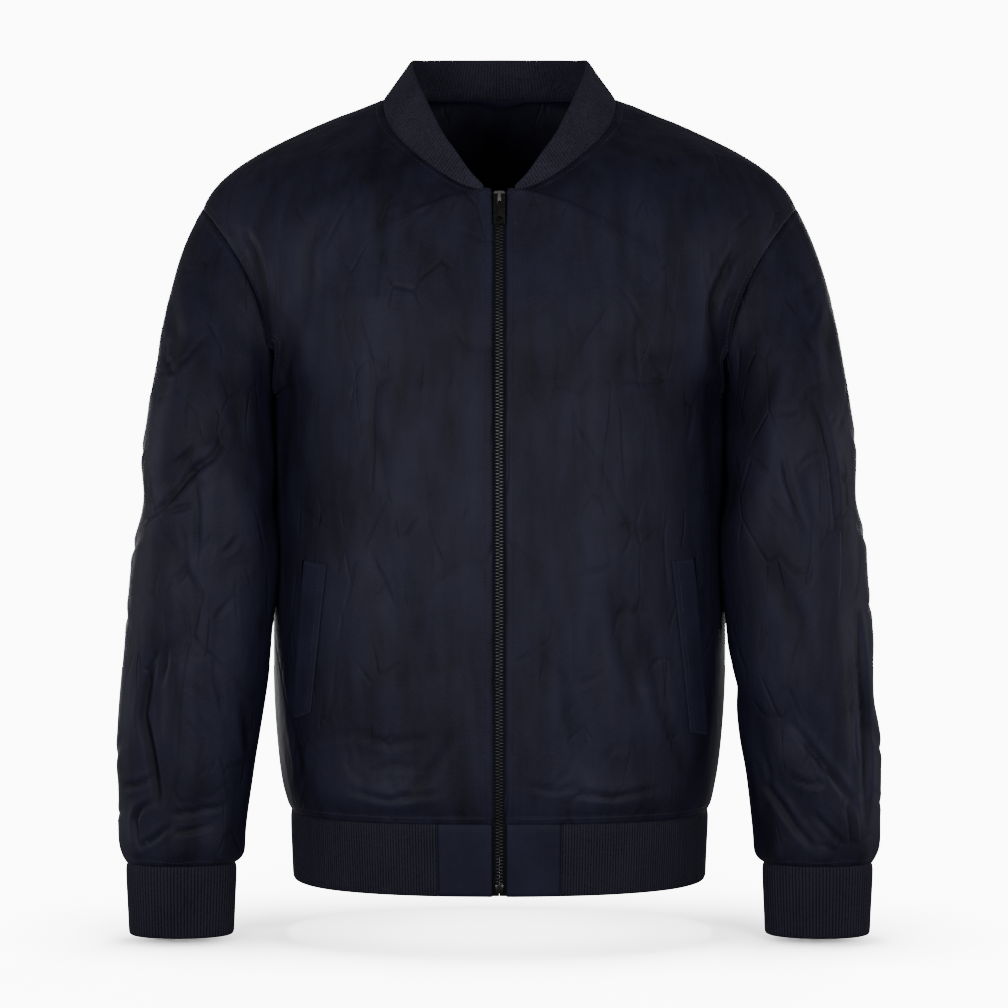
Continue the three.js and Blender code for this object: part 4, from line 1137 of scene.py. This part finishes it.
def round_chest(made):
    """Rounds off the fronts between the neckline and the chest, along the depth only."""
    axes = {"use_axis_x": False, "use_axis_y": True, "use_axis_z": False}
    with editing(made.data) as work:
        near = [
            vert for vert in work.verts
            if not vert.is_boundary and vert.co.z > CHEST["low"] and abs(vert.co.x) < CHEST["half"]
        ]
        for _ in range(CHEST["rounds"]):
            bmesh.ops.smooth_vert(work, verts=near, factor=0.5, **axes)


def make_cloth_panel(panel, centre, seam_ends, settings):
    """One body or sleeve piece: its sheet, shaped, with the cloth's thickness inward."""
    made = outer_sheet(panel, centre, material("cloth"))
    smooth_through_corners(made, levels=3)
    if panel.startswith("front"):
        round_chest(made)
    points = vertex_array(made.data)
    loops = open_edge(made.data)
    if seam_ends:
        seams = [stretch_of(points, loops[0], a, b) for a, b in seam_ends]
    else:
        seams = loops
    shape_cloth(made, panel, seams, settings.crease_depth)
    stitch_guides[panel] = (
        surface_of(made), vertex_array(made.data), vertex_array(made.data, "normal"), seams,
    )
    turn_edges_in(made)
    apply_modifier(made, "SOLIDIFY", thickness=settings.cloth_thickness, offset=-1.0)
    made.data.shade_smooth()
    finish_piece(made, panel)
    return made


def make_body(settings):
    for side_name, side in SIDES.items():
        corners = corners_on(side)
        seam_ends = [(corners[start], corners[end]) for start, end in FRONT_SEAMS]
        make_cloth_panel("front_" + side_name, body_centre, seam_ends, settings)
    sides = [{**corners_on(side), **BACK_MIDDLES} for side in SIDES.values()]
    seam_ends = [(corners[start], corners[end]) for start, end in BACK_SEAMS for corners in sides]
    make_cloth_panel("back", body_centre, seam_ends, settings)


def make_sleeves(settings):
    for side_name, side in SIDES.items():
        make_cloth_panel("sleeve_" + side_name, sleeve_centre(side), None, settings)


def make_hem(settings):
    top, bottom = hem_line(0), hem_line(1)
    ribs = round((line_length(top) - 2 * TAB_END) / HEM_PITCH)
    columns = ribs * RIB_COLUMNS + 1

    def band(name, start, end, count, relief, kind):
        seam = part_of_ring(top, start, end, count) * MM
        share = line_length(bottom) / line_length(top)
        fold = part_of_ring(bottom, start * share, end * share, count) * MM
        return folded_band(name, seam, fold, level_out(seam), relief > 0, relief, material(kind), seed=3)

    start, relief = TAB_END + SEAM_GAP, settings.rib_relief
    ring = band("hem_rib_knit", start, line_length(top) - start, columns, relief, "rib")
    finish_piece(ring, "hem_rib")
    for side_name, side in SIDES.items():
        ends = (TAB_START, TAB_END) if side > 0 else (-TAB_END, -TAB_START)
        tab = band("hem_tab_cloth_" + side_name, *ends, 24, 0.0, "flat_cloth")
        finish_piece(tab, "hem_tab_" + side_name)
        stitch_guides["hem_tab_" + side_name] = (surface_of(tab), ends)


def make_cuffs(settings):
    for side_name, side in SIDES.items():

        def ring(low):
            narrow = CUFF["taper"] * low
            turn = np.linspace(0, 2 * math.pi, 721)
            z = CUFF["top"] + (CUFF["bottom"] - CUFF["top"]) * low
            line = np.stack([
                side * CUFF["x"] + (CUFF["half"] - narrow) * np.cos(turn),
                CUFF["y"] + (CUFF["depth"] - narrow) * np.sin(turn),
                np.full(len(turn), z),
            ], axis=1)
            return even_line(line, CUFF_RIBS * RIB_COLUMNS + 1)[:-1] * MM

        seam, fold = ring(0), ring(1)
        made = folded_band(
            "cuff_rib_knit_" + side_name, seam, fold, level_out(seam, True), True, settings.rib_relief,
            material("rib"), closed=True, seed=20 + side,
        )
        finish_piece(made, "cuff_" + side_name)


# How far the collar starts under the cloth and leans in at its seam, in millimetres.
COLLAR_UNDER = 0.8
COLLAR_LEAN = 0.7


def make_collar(settings):
    half = np.array(NECK, float)
    stations = np.vstack([half, half[-2::-1] * (-1, 1, 1)])
    length = line_length(stations[:, 0])
    columns = round(length / COLLAR_PITCH) * RIB_COLUMNS + 1
    both = smooth_line(stations.reshape(len(stations), 6), columns)
    seam, edge = both[:, :3] * MM, both[:, 3:] * MM
    along = unit(np.gradient(seam + edge, axis=0))
    out = unit(np.cross(along, unit(edge - seam)))
    seam = seam - unit(edge - seam) * COLLAR_UNDER * MM - out * COLLAR_LEAN * MM
    made = folded_band(
        "collar_rib_knit", seam, edge, out, True, settings.rib_relief * 0.6, material("collar"), seed=5,
    )
    finish_piece(made, "collar_rib")


# How far the neck tape lies inside its solid, in metres.
TAPE_INWARD = 0.0032


def make_neck_tape(settings):
    made = merged_copy("neck_tape", material("flat_cloth"), "neck_tape_cloth")
    points = vertex_array(made.data)
    points[:, :2] -= unit(points[:, :2]) * TAPE_INWARD
    set_vertices(made.data, points)
    round_edges(made, 0.3 * MM, 2, 0.8)
    made.data.shade_smooth()
    finish_piece(made, "neck_tape")


# Pocket welts, seen from the front in millimetres.
WELTS = {
    "left": {
        "top_in": (147, -416), "top_out": (167, -414),
        "bottom_in": (164, -566), "bottom_out": (180, -569),
    },
    "right": {
        "top_in": (-147.5, -419), "top_out": (-168, -416),
        "bottom_in": (-162, -548), "bottom_out": (-178, -555),
    },
}
# Where its columns of corners are: the last two are a near-black strip beside it, painted shade standing for
# the mouth of the pocket.
WELT_COLUMNS = [0, 0.06, 0.13, 0.25, 0.4, 0.55, 0.7, 0.84, 0.94, 1.0, 1.015, 1.10]
WELT_ACROSS = len(WELT_COLUMNS)
WELT_DOWN = 60
# Height over the front, in millimetres: at the sewn edges, more on the body of the welt, still more along
# its open edge, and on the near-black strip of painted shade at the pocket's mouth.
WELT_LIFT = {"edge": 1.25, "body": 0.55, "mouth": 0.7, "pocket": 0.25}
WELT_THICKNESS = 0.0012


def make_pockets(settings):
    for side_name, side in SIDES.items():
        tree = stitch_guides["front_" + side_name][0]
        corner = {name: np.array(place, float) for name, place in WELTS[side_name].items()}
        v, u = np.meshgrid(np.linspace(0, 1, WELT_DOWN), WELT_COLUMNS, indexing="ij")
        v, u = v[..., None], u[..., None]
        spots = (
            (corner["top_in"] * (1 - u) + corner["top_out"] * u) * (1 - v)
            + (corner["bottom_in"] * (1 - u) + corner["bottom_out"] * u) * v
        )
        base, out = [], []
        for x, z in spots.reshape(-1, 2) * MM:
            place, normal, _, _ = tree.ray_cast(Vector((x, -0.4, z)), Vector((0, 1, 0)))
            if place is None:
                raise RuntimeError("no cloth behind the pocket welt on the " + side_name)
            base.append(place)
            out.append(normal)
        base = np.array(base)
        out = unit(np.array(out).reshape(WELT_DOWN, WELT_ACROSS, 3).mean(axis=1, keepdims=True))
        out = np.repeat(out, WELT_ACROSS, axis=1).reshape(-1, 3)
        u, v = u.ravel(), v.ravel()
        sewn = np.minimum(np.minimum(fade(u, 0, 0.16), fade(v, 0, 0.03)), fade(1 - v, 0, 0.03))
        open_edge_share = fade(u, 0.75, 1.0) * fade(v, 0.03, 0.2) * fade(1 - v, 0.03, 0.2)
        lift = WELT_LIFT["edge"] + WELT_LIFT["body"] * sewn + WELT_LIFT["mouth"] * open_edge_share
        lift = np.where(u > 1.0, WELT_LIFT["pocket"], lift)
        points = base + out * lift[:, None] * MM
        numbers = np.arange(WELT_DOWN * WELT_ACROSS).reshape(WELT_DOWN, WELT_ACROSS)
        quads = np.stack([numbers[:-1, :-1], numbers[1:, :-1], numbers[1:, 1:], numbers[:-1, 1:]], axis=-1)
        quads = quads.reshape(-1, 4)[:, ::side].tolist()
        made = make_object("pocket_welt_cloth_" + side_name, points, quads, material("flat_cloth"))
        # The strip beside each welt's open edge takes the near-black material: painted shade for the pocket's
        # mouth.
        made.data.materials.append(material("mouth_painted_shade"))
        for number, polygon in enumerate(made.data.polygons):
            polygon.material_index = int(number % (WELT_ACROSS - 1) >= WELT_ACROSS - 3)
        stitch_guides["welt_" + side_name] = (surface_of(made), points.reshape(WELT_DOWN, WELT_ACROSS, 3))
        apply_modifier(made, "SOLIDIFY", thickness=WELT_THICKNESS, offset=-1.0)
        round_edges(made, 0.4 * MM, 2, 1.0)
        made.data.shade_smooth()
        finish_piece(made, "pocket_welt_" + side_name)


def zip_line():
    """Height and depth of the middle of the zip, from its foot to its top."""
    points = vertex_array(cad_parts["zip_chain_left"].data)
    levels = np.unique(np.round(points[:, 2], 5))
    depths = [points[np.abs(points[:, 2] - z) < 2e-5, 1].mean() for z in levels]
    return np.array(depths), levels


def tooth_form():
    """One tooth that reaches from its root on the tape (x = 1) to its tip (x = 0)."""
    bpy.ops.mesh.primitive_cube_add(size=1.0)
    cube = bpy.context.object
    cube.data.transform(Matrix.Translation((0.5, 0, 0)))
    apply_modifier(cube, "BEVEL", width=0.22, segments=1)
    form = vertex_array(cube.data), [list(p.vertices) for p in cube.data.polygons]
    bpy.data.objects.remove(cube)
    return form


# The zip's metal pieces: node, body and material.
ZIP_METAL = [
    ("zip_box", "jacket", "metal"), ("zip_slider", "jacket", "bright"), ("zip_pull", "zip_pull", "metal"),
    ("zip_top_stop_left", "jacket", "metal"), ("zip_top_stop_right", "jacket", "metal"),
]
# Where the teeth end on the tape and where the tape begins, from the middle of the zip in millimetres.
TEETH_REACH = 4.5
TAPE_FROM_MIDDLE = 0.25
# A tooth's length across the zip, its thickness and its height, in metres.
TOOTH = (3.9 * MM, 2.5 * MM, 1.35 * MM)


def make_zip(settings):
    for side_name, side in SIDES.items():
        tape = merged_copy("zip_tape_" + side_name, material("tape"), "zip_tape_cloth_" + side_name)
        round_edges(tape, 0.3 * MM, 1, 1.2)
        points = vertex_array(tape.data)
        under_teeth = np.abs(points[:, 0]) < TEETH_REACH * MM
        points[under_teeth, 0] = side * TAPE_FROM_MIDDLE * MM
        set_vertices(tape.data, points)
        tape.data.shade_smooth()
        finish_piece(tape, "zip_tape_" + side_name)
        make_teeth(side_name, side, settings.tooth_pitch)
    for node, body, kind in ZIP_METAL:
        made = merged_copy(node, material(kind), "metal_" + node)
        round_edges(made, 0.28 * MM, 2, 0.6)
        made.data.shade_smooth()
        finish_piece(made, node, body)


def make_teeth(side_name, side, pitch):
    depths, levels = zip_line()
    count = int((levels[-1] - levels[0]) / pitch)
    z = levels[0] + pitch * (np.arange(count) + (0.25 if side > 0 else 0.75))
    y = np.interp(z, levels, depths)
    slope = np.interp(z + 0.004, levels, depths) - np.interp(z - 0.004, levels, depths)
    up = unit(np.stack([np.zeros(count), slope, np.full(count, 0.008)], axis=1))
    across = np.tile((side, 0.0, 0.0), (count, 1))
    front = np.cross(up, across)
    places = np.stack([np.full(count, -side * 0.35 * MM), y - 0.1 * MM, z], axis=1)
    axes = np.stack([across, front, up], axis=2)
    vertices, faces = repeat_form(tooth_form(), places, axes, np.array(TOOTH))
    made = make_object("zip_teeth_" + side_name, vertices, faces, material("teeth"))
    turn_faces_outward(made.data)
    made.data.shade_flat()
    finish_piece(made, "zip_chain_" + side_name)


# Rows of stitches beside each seam, in the order of FRONT_SEAMS, and of BACK_SEAMS on the left and the
# right in turn: how far from the seam each row is, in millimetres.
SEAM_ROWS = {
    "front": [[6], [1.6], [1.5, 6], [6], [2.0, 7.0]],
    "back": [[6], [6], [1.6, 6], [1.6, 6], [1.5, 6], [1.5, 6], [6], [6]],
}
# Where the middle of each panel is, in metres, so that its rows lie on its own side of the seams.
PANEL_MIDDLES = {
    "front_left": (0.1, -0.1, -0.35), "front_right": (-0.1, -0.1, -0.35), "back": (0, 0.12, -0.35),
}
# Heights of the two rows across a hem tab, from its seam (0) to its fold (1).
TAB_ROWS = [0.09, 0.93]
# How far above the cuff seam its row is, in millimetres.
CUFF_ROW = 6


def make_stitches(settings):
    form, pitch = stitch_form(), settings.stitch_length
    parts = []
    for panel, middle in PANEL_MIDDLES.items():
        tree, points, normals, seams = stitch_guides[panel]
        for seam, distances in zip(seams, SEAM_ROWS[panel.split("_")[0]]):
            for distance in distances:
                line = inward_line(points, normals, seam, distance, np.array(middle))
                parts.append(stitches_along(line, tree, pitch, form))
    for side_name, side in SIDES.items():
        tree, points, normals, seams = stitch_guides["sleeve_" + side_name]
        cuff_end = min(seams, key=lambda seam: points[seam][:, 2].mean())
        ring = points[cuff_end + cuff_end[:1]] + (0, 0, CUFF_ROW * MM)
        parts.append(stitches_along(ring, tree, pitch, form))
        tree, grid = stitch_guides["welt_" + side_name]
        inner = grid[2:-2]
        edge_row = inner[:, 1] * 0.6 + inner[:, 0] * 0.4
        for line in [edge_row, inner[:, 3], grid[1, 1:-1], grid[-2, 1:-1]]:
            parts.append(stitches_along(line, tree, pitch, form))
        tree, (start, end) = stitch_guides["hem_tab_" + side_name]
        for low in TAB_ROWS:
            line = part_of_ring(hem_line(low), start + 1.5, end - 1.5, 20) * MM
            parts.append(stitches_along(line, tree, pitch, form))
    made = make_object("topstitches", *join_parts(parts), material("thread"))
    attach(made, "jacket")


# Lamps round the jacket: place, width and power.
LAMPS = {
    "key": ((-0.62, -1.35, -0.23), 0.6, 8.5),
    "fill": ((0.66, -1.40, -0.26), 0.6, 7.8),
    "side_left": ((-2.3, 0.2, -0.3), 1.2, 12),
    "side_right": ((2.3, 0.2, -0.3), 1.2, 12),
    "back_left": ((0.9, 1.8, -0.1), 0.9, 13),
    "back_right": ((-1.0, 1.8, -0.4), 0.9, 11),
    "floor": ((0.0, -0.05, 2.3), 1.0, 150),
}
MIDDLE = (0, 0, -0.35)
FLOOR_LEVEL = -0.752
CAMERA_PLACE = (0.004, -2.4, -0.3675)
CAMERA_ANGLE = 21.42

# The room's strength where the camera sees it, and where it lights the jacket.
SEEN_WHITE = 11.0
ROOM_LIGHT = 0.16


def make_stage(settings):
    """White floor just under the cuffs, a white room, soft lamps and the camera."""
    place = (0, 0, FLOOR_LEVEL)
    bpy.ops.mesh.primitive_circle_add(vertices=96, radius=4.0, fill_type="NGON", location=place)
    floor = bpy.context.object
    floor.name = "floor"
    floor.is_shadow_catcher = True
    floor.visible_diffuse = floor.visible_glossy = False
    only_floor = bpy.data.collections.new("only_floor")
    only_floor.objects.link(floor)
    s = Shader("white_floor", roughness=0.9, specular=0.0)
    grain = s.noise(s.place(), 3.0, 2.0).value("Fac")
    s.feed("Base Color", s.mix(grain, (0.90, 0.90, 0.90, 1), (0.92, 0.92, 0.92, 1)))
    floor.data.materials.append(s.material)

    world = bpy.data.worlds.new("white_room")
    world.use_nodes = True
    tree = world.node_tree
    room = tree.nodes["Background"]
    room.inputs["Color"].default_value = (1, 1, 1, 1)
    ray = tree.nodes.new("ShaderNodeLightPath")
    brightness = tree.nodes.new("ShaderNodeMapRange")
    brightness.inputs["To Min"].default_value = ROOM_LIGHT
    brightness.inputs["To Max"].default_value = SEEN_WHITE
    tree.links.new(ray.outputs["Is Camera Ray"], brightness.inputs["Value"])
    tree.links.new(brightness.outputs["Result"], room.inputs["Strength"])
    bpy.context.scene.world = world

    for name, (place, width, power) in LAMPS.items():
        bpy.ops.object.light_add(type="AREA", location=place)
        lamp = bpy.context.object
        lamp.name = name
        lamp.data.shape = "DISK"
        lamp.data.size = width
        lamp.data.energy = power
        lamp.visible_camera = False
        if name == "floor":
            lamp.light_linking.receiver_collection = only_floor
        aim = Vector(MIDDLE) - Vector(place)
        lamp.rotation_euler = aim.to_track_quat("-Z", "Y").to_euler()

    bpy.ops.object.camera_add(location=CAMERA_PLACE, rotation=(math.radians(90), 0, 0))
    camera = bpy.context.object
    camera.data.sensor_width = 36.0
    camera.data.angle = math.radians(CAMERA_ANGLE)
    camera.data.dof.use_dof = False
    bpy.context.scene.camera = camera


# Operators

def piece_operator(name, label, makers, needed=()):
    """An operator that runs the makers in turn, and stops if the cloth that it needs isn't there yet."""

    def execute(self, context):
        missing = [piece for piece in needed if piece not in stitch_guides]
        if missing:
            raise RuntimeError("make these first: " + ", ".join(missing))
        for maker in makers:
            maker(context.scene.jacket)
        return {"FINISHED"}

    members = {"bl_idname": "jacket." + name, "bl_label": label, "__doc__": label, "execute": execute}
    return type("JACKET_OT_" + name, (bpy.types.Operator,), members)


OPERATORS = [
    piece_operator("make_stage", "Make the floor, lamps, surroundings and camera", [make_stage]),
    piece_operator("make_body", "Make the two fronts and the back", [make_body]),
    piece_operator("make_sleeves", "Make both sleeves", [make_sleeves]),
    piece_operator(
        "make_ribs", "Make the collar, cuffs, hem band and its tabs", [make_collar, make_cuffs, make_hem],
    ),
    piece_operator("make_pockets", "Make the pocket welts on the fronts", [make_pockets], ["front_left"]),
    piece_operator("make_neck_tape", "Make the tape inside the back of the neck", [make_neck_tape]),
    piece_operator("make_zip", "Make the zip's tapes, teeth, box, slider, stops and pull", [make_zip]),
    piece_operator(
        "make_stitches", "Make the topstitching on the finished cloth", [make_stitches],
        ["front_left", "sleeve_left", "welt_left", "hem_tab_left"],
    ),
]


class JacketPanel(bpy.types.Panel):
    """Lists the settings and the operators."""
    bl_idname = "VIEW3D_PT_jacket"
    bl_label = "Bomber jacket"
    bl_space_type = "VIEW_3D"
    bl_region_type = "UI"
    bl_category = "Jacket"

    def draw(self, context):
        for name in JacketSettings.__annotations__:
            self.layout.prop(context.scene.jacket, name)
        for operator in OPERATORS:
            self.layout.operator(operator.bl_idname)


CLASSES = [JacketSettings, *OPERATORS, JacketPanel]


def register():
    for added in CLASSES:
        bpy.utils.register_class(added)
    bpy.types.Scene.jacket = bpy.props.PointerProperty(type=JacketSettings)


def unregister():
    del bpy.types.Scene.jacket
    for added in reversed(CLASSES):
        bpy.utils.unregister_class(added)


def main():
    register()
    bpy.ops.jacket.make_stage()
    bpy.ops.jacket.make_body()
    bpy.ops.jacket.make_sleeves()
    bpy.ops.jacket.make_ribs()
    bpy.ops.jacket.make_pockets()
    bpy.ops.jacket.make_neck_tape()
    bpy.ops.jacket.make_zip()
    bpy.ops.jacket.make_stitches()


if __name__ == "__main__":
    main()
